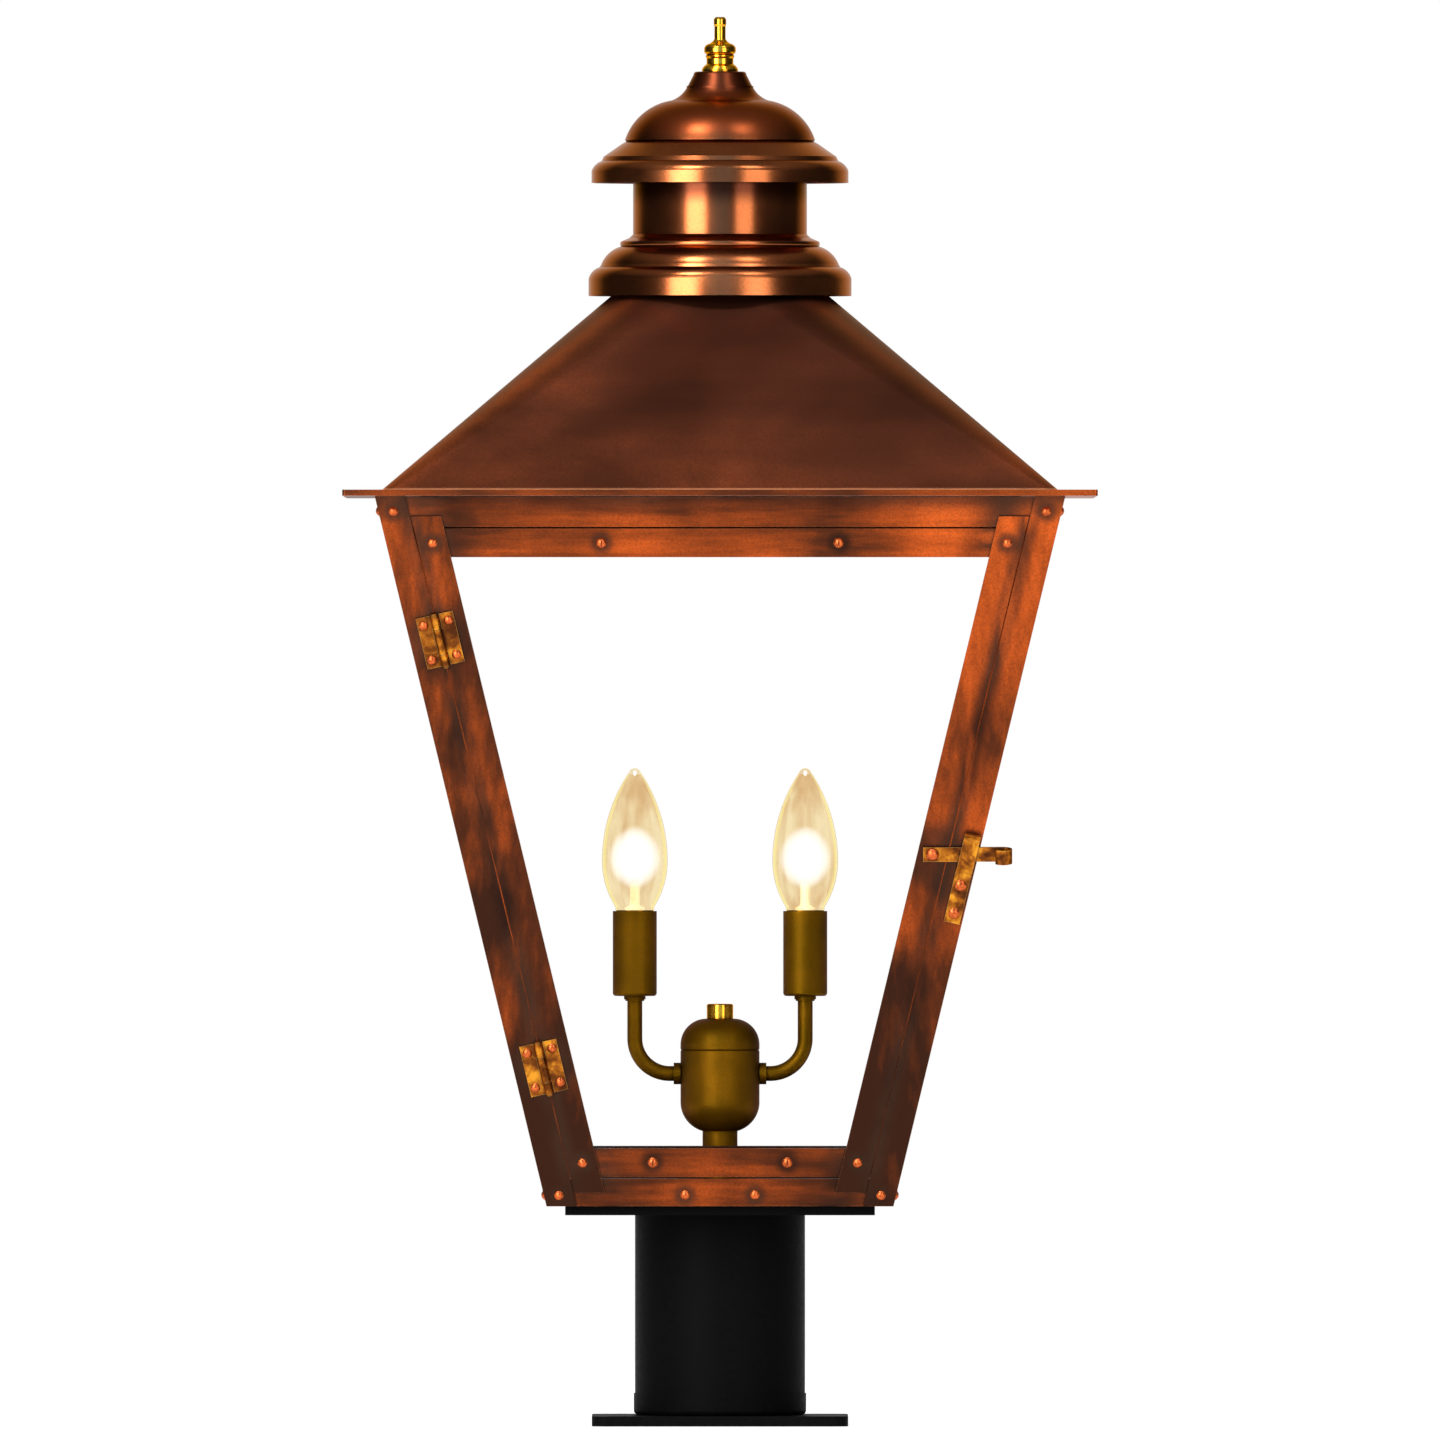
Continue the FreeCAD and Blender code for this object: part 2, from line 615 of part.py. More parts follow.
def make_corner_posts():
    """Four leaning angle posts. The holes for the hinges and the keeper are in the two front ones."""
    names = ("front_right", "back_right", "back_left", "front_left")
    near = f"(bottom_half - {SHEET_RUN})"
    far = "(bottom_half - post_width)"
    outline = [
        ("bottom_half", "-bottom_half"), ("bottom_half", f"-{far}"), (near, f"-{far}"),
        (near, f"-{near}"), (far, f"-{near}"), (far, "-bottom_half"),
    ]
    right, left = [], []
    for holes in corner_holes().values():
        right.append(holes[0])
        left.append(holes[1])
    for index, name in enumerate(names):
        body = new_body(f"corner_post_{name}")
        drawing = sketch_on(body, "XY_Plane", BODY_BOTTOM)
        draw_outline(drawing, outline)
        feature = pad(body, drawing, "body_height")
        feature.UseCustomVector = True
        feature.AlongSketchNormal = True
        feature.Direction = Vector(1, -1, 1)
        feature.setExpression("Direction.x", bound("lean"))
        feature.setExpression("Direction.y", bound("-lean"))
        front_holes, side_holes = list(right), list(left)
        if name == "front_right":
            front_holes += [(x, y, "rivet_radius + fit") for x, y in keeper_rivet_points()]
        if name == "front_left":
            side_holes += [(x, y, "rivet_radius + fit") for x, y in leaf_rivet_points(-1)]
        drill(body, front_holes, face_place(0), "2 * sheet")
        drill(body, side_holes, face_place(1), "2 * sheet")
        keep(body, f"corner_post_{name}", turn(Vector(0, 0, 1), 90 * index))


def make_rails():
    """Top and bottom rails behind the posts' flanges, one of each on every face."""
    top_rails, bottom_rails = [], []
    for index, face in enumerate(FACES):
        holes = list(corner_holes()["top"])
        if index:
            holes += stop_screw_holes()
        outline = strip(TOP_RAIL_BOTTOM, TOP_RAIL_TOP, "corner_margin")
        top_rails.append(plate(f"top_rail_{face}", outline, "sheet", RAIL_BACK, holes))
        outline = strip("0", "bottom_rail_width", "corner_margin")
        holes = bottom_rivet_holes()
        bottom_rails.append(plate(f"bottom_rail_{face}", outline, "sheet", RAIL_BACK, holes))
    for rails in (top_rails, bottom_rails):
        for index, rail in enumerate(rails):
            rail.Placement = face_place(index)
    keep_group("top_rails", top_rails)
    keep_group("bottom_rails", bottom_rails)


def stop_screw_holes():
    return pair("stop_screw_spacing / 2", TOP_RIVET, "screw_radius + fit")


def stop_frame(name, outer, inner, holes):
    """A thin frame behind a pane."""
    body = new_body(name)
    drawing = sketch_on(body, "XY_Plane", STOP_BACK)
    draw_outline(drawing, outer)
    draw_outline(drawing, inner)
    for hole in holes:
        draw_circle(drawing, *hole)
    pad(body, drawing, "sheet")
    return body


def make_side_glazing():
    """A pane in each fixed face, standing on the pan's lip, and the frame that holds it from inside."""
    lip_top = f"((sheet + pan_lip) * {SLOPE})"
    frames = []
    for index, face in enumerate(FACES[1:], start=1):
        outline = strip(lip_top, f"{TOP_RAIL_BOTTOM} + glass_overlap", "glass_side")
        pane = plate(f"glass_pane_{face}", outline, "glass_thick", GLASS_BACK)
        keep(pane, f"glass_pane_{face}", face_place(index))
        low, high = f"((sheet + fit) * {SLOPE})", f"({TOP_RIVET} + 2 * screw_radius)"
        outer = strip(low, high, "glass_side")
        inner = strip(f"{low} + stop_width", f"{high} - stop_width", "glass_side + stop_width")
        stop = stop_frame(f"stop_{face}", outer, inner, stop_screw_holes())
        stop.Placement = face_place(index)
        frames.append(stop)
    keep_group("glass_stops", frames)


# ---------------------------------------------------------------- rivets and screws

def rivet_solid(name, grip, head_radius="rivet_head_radius"):
    """A domed rivet, head up on z 0, with a low formed tail below its grip."""
    tail = f"-({grip})"
    body = turned(name, [
        ("0", "rivet_head_height", cap_radius(head_radius, "rivet_head_height")),
        ("0", f"{tail} - rivet_tail_height"),
        ("rivet_tail_radius", tail, cap_radius("rivet_tail_radius", "rivet_tail_height")),
        ("rivet_radius", tail), ("rivet_radius", "0"), (head_radius, "0"),
    ])
    doc.recompute()
    return body.Shape


def on_face(index, points, level):
    return [face_place(index) * at(x, y, level) for x, y in points]


def spots(holes):
    return [(x, y) for x, y, radius in holes]


def make_frame_rivets():
    """All the rivets of the fixed frame, of the hinges' fixed leaves and of the keeper."""
    two_sheets = rivet_solid("rivet_of_two", "2 * sheet")
    three_sheets = rivet_solid("rivet_of_three", "3 * sheet + 2 * fit")
    pan_rivet = rivet_solid("rivet_of_rail", "2 * sheet + 2 * fit")
    leaf_rivet = rivet_solid("rivet_of_leaf", "sheet + leaf_thick")
    keeper_rivet = rivet_solid("rivet_of_keeper", "sheet + keeper_thick", "keeper_rivet_head")
    middle = pair("middle_rivet_spacing / 2", "bottom_rivet_level", "rivet_radius")
    solids = []
    for index in range(len(FACES)):
        groups = (
            (two_sheets, corner_holes()["top"], "0"),
            (three_sheets, corner_holes()["bottom"], "0"),
            (pan_rivet, middle, "-sheet"),
        )
        for shape, holes, level in groups:
            solids += placed(shape, on_face(index, spots(holes), level))
    solids += placed(leaf_rivet, on_face(0, leaf_rivet_points(-1), "leaf_thick"))
    solids += placed(keeper_rivet, on_face(0, keeper_rivet_points(), "keeper_thick"))
    keep_solids("frame_rivets", solids)


def screw_solid(name, grip):
    """A slotted round-head screw, head up on z 0."""
    end = f"-({grip} + screw_end)"
    body = turned(name, [
        ("0", "screw_head_height", cap_radius("screw_head_radius", "screw_head_height")), ("0", end),
        ("screw_radius", end), ("screw_radius", "0"), ("screw_head_radius", "0"),
    ])
    doc.recompute()
    drawing = sketch_on(body, "XY_Plane", "screw_head_height / 2")
    reach, half = "(2 * screw_head_radius)", "(screw_slot / 2)"
    draw_outline(drawing, [
        (f"-{half}", f"-{reach}"), (half, f"-{reach}"), (half, reach), (f"-{half}", reach),
    ])
    slot = body.newObject("PartDesign::Pocket", f"{name}_slot")
    slot.Profile = drawing
    slot.Reversed = True
    slot.setExpression("Length", bound("screw_head_height"))
    doc.recompute()
    return body.Shape


def make_stop_screws():
    grip = "(2 * sheet + glass_thick)"
    shape = screw_solid("stop_screw_pattern", grip)
    flip = turn(Vector(1, 0, 0), 180)
    places = []
    for index in range(1, len(FACES)):
        places += [spot * flip for spot in on_face(index, spots(stop_screw_holes()), STOP_BACK)]
    copies("stop_screws", shape, places)


# ---------------------------------------------------------------- door

def door_corner_points():
    points = []
    for level in (DOOR_TOP_RIVET, DOOR_BOTTOM_RIVET):
        points += spots(pair(edge(level, STILE_MIDDLE), level, "rivet_radius"))
    return points


def door_screw_points():
    top = pair("door_screw_top_spacing / 2", DOOR_TOP_RIVET, "screw_radius")
    bottom = pair("door_screw_bottom_spacing / 2", DOOR_BOTTOM_RIVET, "screw_radius")
    return spots(top), spots(bottom)


def make_door_stiles():
    low = "(bottom_rail_width - stile_lap)"
    high = f"({TOP_RAIL_BOTTOM} + stile_lap_top)"
    inner = f"{DOOR_EDGE} + stile_width"
    corners = door_corner_points()
    extra = {
        "left": [(x, y, "rivet_radius + fit") for x, y in leaf_rivet_points(1)],
        "right": [(*latch_pivot(), "latch_rivet_radius + fit")],
    }
    for side, name in ((-1, "left"), (1, "right")):
        holes = [(x, y, "rivet_radius + fit") for x, y in corners if x.startswith("-") == (side < 0)]
        outline = stile_outline(side, low, high, DOOR_EDGE, inner)
        stile = plate(f"door_stile_{name}", outline, "sheet", "-sheet", holes + extra[name])
        keep(stile, f"door_stile_{name}", face_place(0))


def make_door_rails():
    top_screws, bottom_screws = door_screw_points()
    corners = door_corner_points()
    bands = {
        "top": (f"{DOOR_TOP} - door_rail_top_width", DOOR_TOP, corners[:2], top_screws),
        "bottom": (DOOR_BOTTOM, f"{DOOR_BOTTOM} + door_rail_bottom_width", corners[2:], bottom_screws),
    }
    for name, (low, high, rivets, screws) in bands.items():
        holes = [(x, y, "rivet_radius + fit") for x, y in rivets]
        holes += [(x, y, "screw_radius + fit") for x, y in screws]
        rail = plate(f"door_rail_{name}", strip(low, high, DOOR_EDGE), "sheet", RAIL_BACK, holes)
        keep(rail, f"door_rail_{name}", face_place(0))


def make_door_glazing():
    side = f"({DOOR_EDGE} + door_glass_side)"
    low = f"({DOOR_BOTTOM} + door_rail_bottom_width - door_glass_overlap)"
    high = f"({DOOR_TOP} - door_rail_top_width + door_glass_overlap)"
    pane = plate("door_glass", strip(low, high, side), "glass_thick", GLASS_BACK)
    keep(pane, "door_glass", face_place(0))
    stop_low, stop_high = f"{DOOR_BOTTOM} + door_stop_gap", f"{DOOR_TOP} - door_stop_gap"
    top_screws, bottom_screws = door_screw_points()
    outer = strip(stop_low, stop_high, side)
    inner = strip(f"{low} + door_glass_overlap", f"{high} - door_glass_overlap", f"{side} + stop_width")
    holes = [(x, y, "screw_radius + fit") for x, y in top_screws + bottom_screws]
    keep(stop_frame("door_stop", outer, inner, holes), "door_stop", face_place(0))


def make_door_fasteners():
    """The door's own rivets, those of the hinges' moving leaves, and its four slotted screws."""
    corner_rivet = rivet_solid("door_rivet_pattern", "2 * sheet")
    leaf_rivet = rivet_solid("door_leaf_rivet_pattern", "sheet + leaf_thick")
    solids = placed(corner_rivet, on_face(0, door_corner_points(), "0"))
    solids += placed(leaf_rivet, on_face(0, leaf_rivet_points(1), "leaf_thick"))
    keep_solids("door_rivets", solids)
    screw = screw_solid("door_screw_pattern", "2 * sheet + glass_thick")
    top_screws, bottom_screws = door_screw_points()
    copies("door_screws", screw, on_face(0, top_screws + bottom_screws, "-sheet"))


# ---------------------------------------------------------------- hinges

def leaf_body(name, side, bands):
    """A hinge leaf with y along the pin, on side -1 or 1 of it. A band has a knuckle or is cut back."""
    half = "(leaf_length / 2)"
    body = new_body(name)
    drawing = sketch_on(body, "XY_Plane")
    near, far = f"{side} * barrel_radius / 2", f"{side} * leaf_width"
    clear = f"{side} * leaf_notch"
    outline = [(far, f"-{half}")]
    for low, high, has_knuckle in bands:
        reach = near if has_knuckle else clear
        outline += [(reach, low), (reach, high)]
    outline.append((far, half))
    draw_outline(drawing, outline)
    pad(body, drawing, "leaf_thick")
    for low, high, has_knuckle in bands:
        if not has_knuckle:
            continue
        rings = sketch_on(body, "XZ_Plane", f"-({low})")
        draw_circle(rings, "0", PIN_LEVEL, "barrel_radius")
        draw_circle(rings, "0", PIN_LEVEL, "pin_radius + pin_clearance")
        feature = pad(body, rings, f"({high}) - ({low})")
        feature.Reversed = True
        doc.recompute()
    across = f"{side} * leaf_rivet_across"
    holes = [(across, f"{way} * leaf_rivet_along", "rivet_radius + fit") for way in (1, -1)]
    drill(body, holes, Placement(), "2 * leaf_thick")
    return body


def make_hinges():
    half = "(leaf_length / 2)"
    low_split = f"(knuckle_last - {half})"
    high_split = f"({half} - knuckle_first)"
    low_end, high_end = f"({low_split} - knuckle_gap)", f"({high_split} + knuckle_gap)"
    fixed = leaf_body("leaf_fixed", -1, [
        (f"-{half}", low_end, True), (low_end, high_end, False), (high_end, half, True),
    ])
    moving = leaf_body("leaf_moving", 1, [
        (f"-{half}", low_split, False), (low_split, high_split, True), (high_split, half, False),
    ])
    pin = turned("hinge_pin", [
        ("0", f"-{half} - pin_head"), ("pin_head_radius", f"-{half} - pin_head"),
        ("pin_head_radius", f"-{half}"), ("pin_radius", f"-{half}"), ("pin_radius", half),
        ("pin_head_radius", half), ("pin_head_radius", f"{half} + pin_head"),
        ("0", f"{half} + pin_head"),
    ])
    doc.recompute()
    places = [slanted_place(-1, level, HINGE_LINE) for level in HINGE_LEVELS]
    copies("hinge_leaves_frame", fixed.Shape, places)
    copies("hinge_leaves_door", moving.Shape, places)
    upright = at("0", "0", PIN_LEVEL) * turn(Vector(1, 0, 0), -90)
    copies("hinge_pins", pin.Shape, [place * upright for place in places])


# ---------------------------------------------------------------- latch

def latch_place():
    x, y = latch_pivot()
    return face_place(0) * at(x, y)


def make_latch_bar():
    """A flat bar on the door that reaches past the corner and ends in a rolled finger curl."""
    body = new_body("latch_bar")
    drawing = sketch_on(body, "XZ_Plane")
    back, front = "latch_lift", "(latch_lift + latch_thick)"
    middle_x = "(latch_reach - curl_radius)"
    middle_z = "(latch_lift + curl_radius)"
    inner = "(curl_radius - latch_thick)"
    tip_x, tip_z = "cos(curl_turn)", "sin(curl_turn)"
    draw_outline(drawing, [
        ("-latch_end", back), (middle_x, back), ("latch_reach", middle_z, "curl_radius"),
        (f"{middle_x} + {tip_x} * curl_radius", f"{middle_z} + {tip_z} * curl_radius", "curl_radius"),
        (f"{middle_x} + {tip_x} * {inner}", f"{middle_z} + {tip_z} * {inner}"),
        (f"{middle_x} + {inner}", middle_z, f"-{inner}"), (middle_x, front, f"-{inner}"),
        ("-latch_end", front),
    ])
    pad(body, drawing, "latch_height", midplane=True)
    hole = ("0", "0", "latch_rivet_radius + latch_rivet_clearance")
    drill(body, [hole], Placement(), "2 * latch_thick")
    keep(body, "latch_bar", latch_place())


def make_latch_rivet():
    """The bar's pivot: a shouldered rivet, tight in the stile and free in the bar."""
    top = "(2 * latch_lift + latch_thick)"
    tail = "-sheet"
    body = turned("latch_rivet", [
        ("0", f"{top} + latch_rivet_height", cap_radius("latch_rivet_head", "latch_rivet_height")),
        ("0", f"{tail} - rivet_tail_height"),
        ("latch_rivet_tail", tail, cap_radius("latch_rivet_tail", "rivet_tail_height")),
        ("latch_rivet_radius", tail), ("latch_rivet_radius", top), ("latch_rivet_head", top),
    ])
    keep(body, "latch_rivet", latch_place())


def make_keeper():
    """The joggled keeper: a leg on the post, a shelf for the bar and a tongue in front of it."""
    body = new_body("latch_keeper")
    drawing = sketch_on(body, "YZ_Plane")
    shelf = "-(latch_height / 2 + keeper_drop)"
    foot = f"({shelf} - keeper_joggle)"
    out = "(latch_lift + latch_thick + keeper_space)"
    draw_outline(drawing, [
        (f"{foot} - keeper_leg", "0"), (foot, "0"), (shelf, out), ("keeper_tongue", out),
        ("keeper_tongue + lip_length", f"{out} + lip_flare"),
        ("keeper_tongue + lip_length - keeper_thick / 2", f"{out} + lip_flare + keeper_thick"),
        ("keeper_tongue - keeper_thick / 2", f"{out} + keeper_thick"),
        (f"{shelf} - keeper_thick", f"{out} + keeper_thick"), (f"{foot} - keeper_thick", "keeper_thick"),
        (f"{foot} - keeper_leg", "keeper_thick"),
    ])
    pad(body, drawing, "keeper_width", midplane=True)
    drops = ("keeper_rivet_upper", "keeper_rivet_lower")
    holes = [("0", f"{foot} - {drop}", "rivet_radius + fit") for drop in drops]
    drill(body, holes, Placement(), "2 * keeper_thick")
    keep(body, "latch_keeper", slanted_place(1, LATCH_LEVEL, "keeper_inset"))


# ---------------------------------------------------------------- roof and vent

def make_eave():
    body = new_body("eave_flange")
    drawing = sketch_on(body, "XY_Plane", BODY_TOP)
    draw_outline(drawing, rounded_square(f"({TOP_HALF} + eave_overhang)", "eave_corner"))
    draw_outline(drawing, rounded_square(f"({TOP_HALF} - eave_lip)", "eave_lip_corner"))
    pad(body, drawing, "eave_thick")
    keep(body, "eave_flange")


def make_roof():
    """A sheet roof that goes from a square foot, over soft hips, to the round drum."""
    body = new_body("roof_shell")
    surfaces = (("AdditiveLoft", "0", "hip_foot"), ("SubtractiveLoft", "roof_run", "hip_foot_inside"))
    for kind, inward, hip in surfaces:
        foot = sketch_on(body, "XY_Plane", EAVE_TOP)
        draw_outline(foot, rounded_square(f"({TOP_HALF} - roof_inset - {inward})", hip))
        crown = sketch_on(body, "XY_Plane", ROOF_TOP)
        half = f"(drum_radius - {inward})"
        draw_outline(crown, rounded_square(half, f"({half} - hip_flat)"))
        doc.recompute()
        loft = body.newObject(f"PartDesign::{kind}", f"roof_{kind}")
        loft.Profile = foot
        loft.Sections = [crown]
        loft.Ruled = True
        doc.recompute()
    keep(body, "roof_shell")


def make_drum():
    outline = ring("drum_radius", "drum_radius - sheet", "0", "drum_height")
    keep(turned("vent_drum", outline, ROOF_TOP), "vent_drum")


def make_skirt():
    """The flared skirt round the drum: a beaded neck, a bulged slope, a brow and a rim band."""
    curve = [
        ("drum_radius + fit", "skirt_top"), ("skirt_neck_radius", "skirt_neck_height"),
        ("skirt_bead_radius", "skirt_bead_height + skirt_bead"),
        ("skirt_bead_radius", "skirt_bead_height", "-skirt_bead"),
        ("skirt_slope_radius", "skirt_slope_height", "-skirt_bulge"),
        ("skirt_brow_radius", "skirt_brow_height"),
        ("skirt_rim_radius", "skirt_rim_height", "-skirt_brow"),
        ("skirt_rim_radius", "0"),
    ]
    keep(turned_shell("vent_skirt", curve, "sheet", SKIRT_BASE), "vent_skirt")


def make_cap():
    """The spun cap: a rim band and its brow, a sloping shoulder, a groove, a dome and a nipple."""
    curve = [
        ("rod_radius + rod_clearance", "cap_nipple_height"),
        ("cap_nipple_radius - cap_nipple_round", "cap_nipple_height"),
        ("cap_nipple_radius", "cap_nipple_height - cap_nipple_round", "-cap_nipple_round"),
        ("cap_ring_radius - cap_ring_step", "cap_ring_high"),
        ("cap_ring_radius", "cap_ring_high"),
        ("cap_ring_radius", "cap_ring_low"),
        ("cap_throat_radius", "cap_throat_height", "cap_throat"),
        ("cap_dome_radius", "cap_dome_height", "-cap_dome"),
        ("cap_dome_radius - cap_groove", "cap_dome_height - cap_groove"),
        ("cap_shoulder_radius", "cap_shoulder_height"),
        ("cap_step_radius", "cap_step_height"),
        ("cap_brow_radius", "cap_brow_height"),
        ("cap_rim_radius", "cap_rim_height", "-cap_brow"),
        ("cap_rim_radius", "0"),
    ]
    keep(turned_shell("vent_cap", curve, "sheet", CAP_BASE), "vent_cap")


def make_bridge():
    """A strap across the drum with turned-down ends, which holds the tie rod."""
    body = new_body("vent_bridge")
    drawing = sketch_on(body, "XZ_Plane")
    half = "sqrt((drum_radius - sheet - fit) ^ 2 - (bridge_width / 2) ^ 2)"
    inner = f"({half} - bridge_thick)"
    level = BRIDGE_LEVEL
    low, top = f"{level} - bridge_lip", f"{level} + bridge_thick"
    draw_outline(drawing, [
        (f"-{half}", low), (f"-{inner}", low), (f"-{inner}", level),
        (inner, level), (inner, low), (half, low), (half, top), (f"-{half}", top),
    ])
    pad(body, drawing, "bridge_width", midplane=True)
    drill(body, [("0", "0", "rod_radius + rod_clearance")], at("0", "0", level), "2 * bridge_thick")
    keep(body, "vent_bridge")


def make_tie_rod():
    """The rod, its nut under the bridge and the spacer that carries the cap."""
    nut_bottom = f"({BRIDGE_LEVEL} - rod_nut_height)"
    rod = turned("tie_rod", [
        ("0", f"{nut_bottom} - rod_tail"), ("rod_radius", f"{nut_bottom} - rod_tail"),
        ("rod_radius", f"{CAP_TOP} + rod_into_finial"), ("0", f"{CAP_TOP} + rod_into_finial"),
    ])
    keep(rod, "tie_rod")
    nut = hexagon("tie_rod_nut", "rod_nut_radius", "rod_nut_height", "rod_radius + rod_clearance")
    keep(nut, "tie_rod_nut", at("0", "0", nut_bottom))
    bridge_top = f"({BRIDGE_LEVEL} + bridge_thick)"
    outline = ring("spacer_radius", "rod_radius + rod_clearance", bridge_top, f"{CAP_TOP} - sheet")
    keep(turned("cap_spacer", outline), "cap_spacer")


def make_finial():
    bore = "(rod_radius + rod_clearance)"
    outline = [
        (bore, "0"), ("finial_foot_radius", "0"), ("finial_foot_radius", "finial_foot"),
        ("finial_base_radius", "finial_base"), ("finial_barrel_radius", "finial_barrel_low"),
        ("finial_barrel_radius", "finial_barrel_high"), ("finial_waist_radius", "finial_waist"),
        ("finial_barrel_radius", "finial_neck"),
        ("finial_bead_radius", "finial_bead_low", "finial_bead"),
        ("finial_bead_radius", "finial_bead_high"),
        ("finial_shoulder_radius", "finial_shoulder", "finial_bead"),
        ("finial_rod_radius", "finial_rod", "-finial_flare"),
        ("finial_rod_radius", "finial_head_low"),
        ("finial_head_radius", "finial_head_low + finial_head_taper"),
        ("finial_head_radius", "finial_head_high"), ("finial_top_radius", "finial_top"),
        ("0", "finial_top"), ("0", "rod_into_finial + rod_bore"), (bore, "rod_into_finial + rod_bore"),
    ]
    keep(turned("finial", outline, CAP_TOP), "finial")


# ---------------------------------------------------------------- light cluster

def make_stem():
    """The threaded lamp pipe, its locknut under the top plate and the sleeve round it."""
    low, top = f"{TUBE_TOP} - pipe_tail", f"{CLUSTER_TOP} + top_nut_height - top_nut_round"
    keep(turned("stem_pipe", ring("pipe_radius", "pipe_bore", low, top)), "stem_pipe")
    nut = hexagon("stem_locknut", "locknut_radius", "locknut_height", "pipe_radius + fit")
    keep(nut, "stem_locknut", at("0", "0", f"{TUBE_TOP} - locknut_height"))
    sleeve = ring("sleeve_radius", "sleeve_radius - sleeve_wall", PAN_TOP, CLUSTER_SEAT)
    keep(turned("stem_sleeve", sleeve), "stem_sleeve")


def make_cluster():
    """The hollow hub: a body that the arms leave from, a domed cap and the top nut."""
    inner = "(cluster_radius - cluster_wall)"
    bore = "(pipe_radius + fit)"
    body = turned("cluster_body", [
        (bore, "cluster_seat"), ("sleeve_radius", "cluster_seat"),
        ("cluster_radius", "cluster_seat + cluster_taper", "cluster_taper_round"),
        ("cluster_radius", "cluster_seam - cluster_groove"),
        ("cluster_radius - cluster_groove", "cluster_seam"), (inner, "cluster_seam"),
        (inner, "cluster_seat + cluster_taper"),
        ("sleeve_radius", "cluster_seat + cluster_wall", "-(cluster_taper_round)"),
        (bore, "cluster_seat + cluster_wall"),
    ], BODY_BOTTOM)
    doc.recompute()
    drawing = sketch_on(body, "YZ_Plane")
    draw_circle(drawing, "0", ARM_LEVEL, "arm_radius + fit")
    cut = body.newObject("PartDesign::Pocket", "cluster_arm_holes")
    cut.Profile = drawing
    cut.Midplane = True
    cut.setExpression("Length", bound("4 * cluster_radius"))
    keep(body, "cluster_body")
    low = "(cluster_top - cluster_round)"
    rim = "(cluster_radius - cluster_round)"
    cap = turned("cluster_cap", [
        (inner, "cluster_seam"), ("cluster_radius - cluster_groove", "cluster_seam"),
        ("cluster_radius", "cluster_seam + cluster_groove"), ("cluster_radius", low),
        (rim, "cluster_top", "cluster_round"), (bore, "cluster_top"),
        (bore, "cluster_top - cluster_wall"),
        (rim, "cluster_top - cluster_wall"), (inner, low, "-(cluster_round - cluster_wall)"),
    ], BODY_BOTTOM)
    keep(cap, "cluster_cap")
    nut = turned("cluster_nut", [
        (bore, "0"), ("top_nut_radius", "0"), ("top_nut_radius", "top_nut_height - top_nut_round"),
        ("top_nut_radius - top_nut_round", "top_nut_height", "top_nut_round"), (bore, "top_nut_height"),
    ], CLUSTER_TOP)
    keep(nut, "cluster_nut")


def make_arms():
    """Two bent tubes from the hub to the candles, with a collar where each leaves the hub."""
    arms = []
    for name, half_turn in (("right", 0), ("left", 180)):
        body = new_body(f"arm_{name}")
        start = "(cluster_radius - cluster_wall - arm_inside)"
        path = sketch_on(body, "XZ_Plane")
        bend_x, bend_z = "(arm_reach - arm_bend)", f"({ARM_LEVEL} + arm_bend)"
        bend_start, bend_end = flat_point(bend_x, ARM_LEVEL), flat_point("arm_reach", bend_z)
        first = path.addGeometry(Part.LineSegment(flat_point(start, ARM_LEVEL), bend_start))
        path.addGeometry(arc_between(bend_start, bend_end, size("arm_bend")))
        path.addGeometry(Part.LineSegment(bend_end, flat_point("arm_reach", ARM_TOP)))
        path.addConstraint(Sketcher.Constraint("Coincident", first, 2, first + 1, 1))
        path.addConstraint(Sketcher.Constraint("Coincident", first + 1, 2, first + 2, 1))
        held = (
            (first, 1, start, ARM_LEVEL), (first, 2, bend_x, ARM_LEVEL),
            (first + 2, 1, "arm_reach", bend_z), (first + 2, 2, "arm_reach", ARM_TOP),
        )
        for geometry, end, x, z in held:
            hold(path, "DistanceX", geometry, end, x)
            hold(path, "DistanceY", geometry, end, z)
        radius = path.addConstraint(Sketcher.Constraint("Radius", first + 1, size("arm_bend")))
        path.setExpression(f"Constraints[{radius}]", bound("arm_bend"))
        section = sketch_on(body, "YZ_Plane", start)
        draw_circle(section, "0", ARM_LEVEL, "arm_radius")
        draw_circle(section, "0", ARM_LEVEL, "arm_bore")
        doc.recompute()
        pipe = body.newObject("PartDesign::AdditivePipe", f"arm_{name}_pipe")
        pipe.Profile = section
        pipe.Spine = (path, ["Edge1", "Edge2", "Edge3"])
        body.Placement = turn(Vector(0, 0, 1), half_turn)
        arms.append(body)
    keep_group("cluster_arms", arms)
    outline = ring("collar_radius", "arm_radius + fit", "0", "collar_length")
    collar = turned("collar_pattern", outline)
    doc.recompute()
    seat = Placement(Vector(size("cluster_radius"), 0, size(ARM_LEVEL)), Rotation(Vector(0, 1, 0), 90))
    copies("arm_collars", collar.Shape, [turn(Vector(0, 0, 1), angle) * seat for angle in (0, 180)])


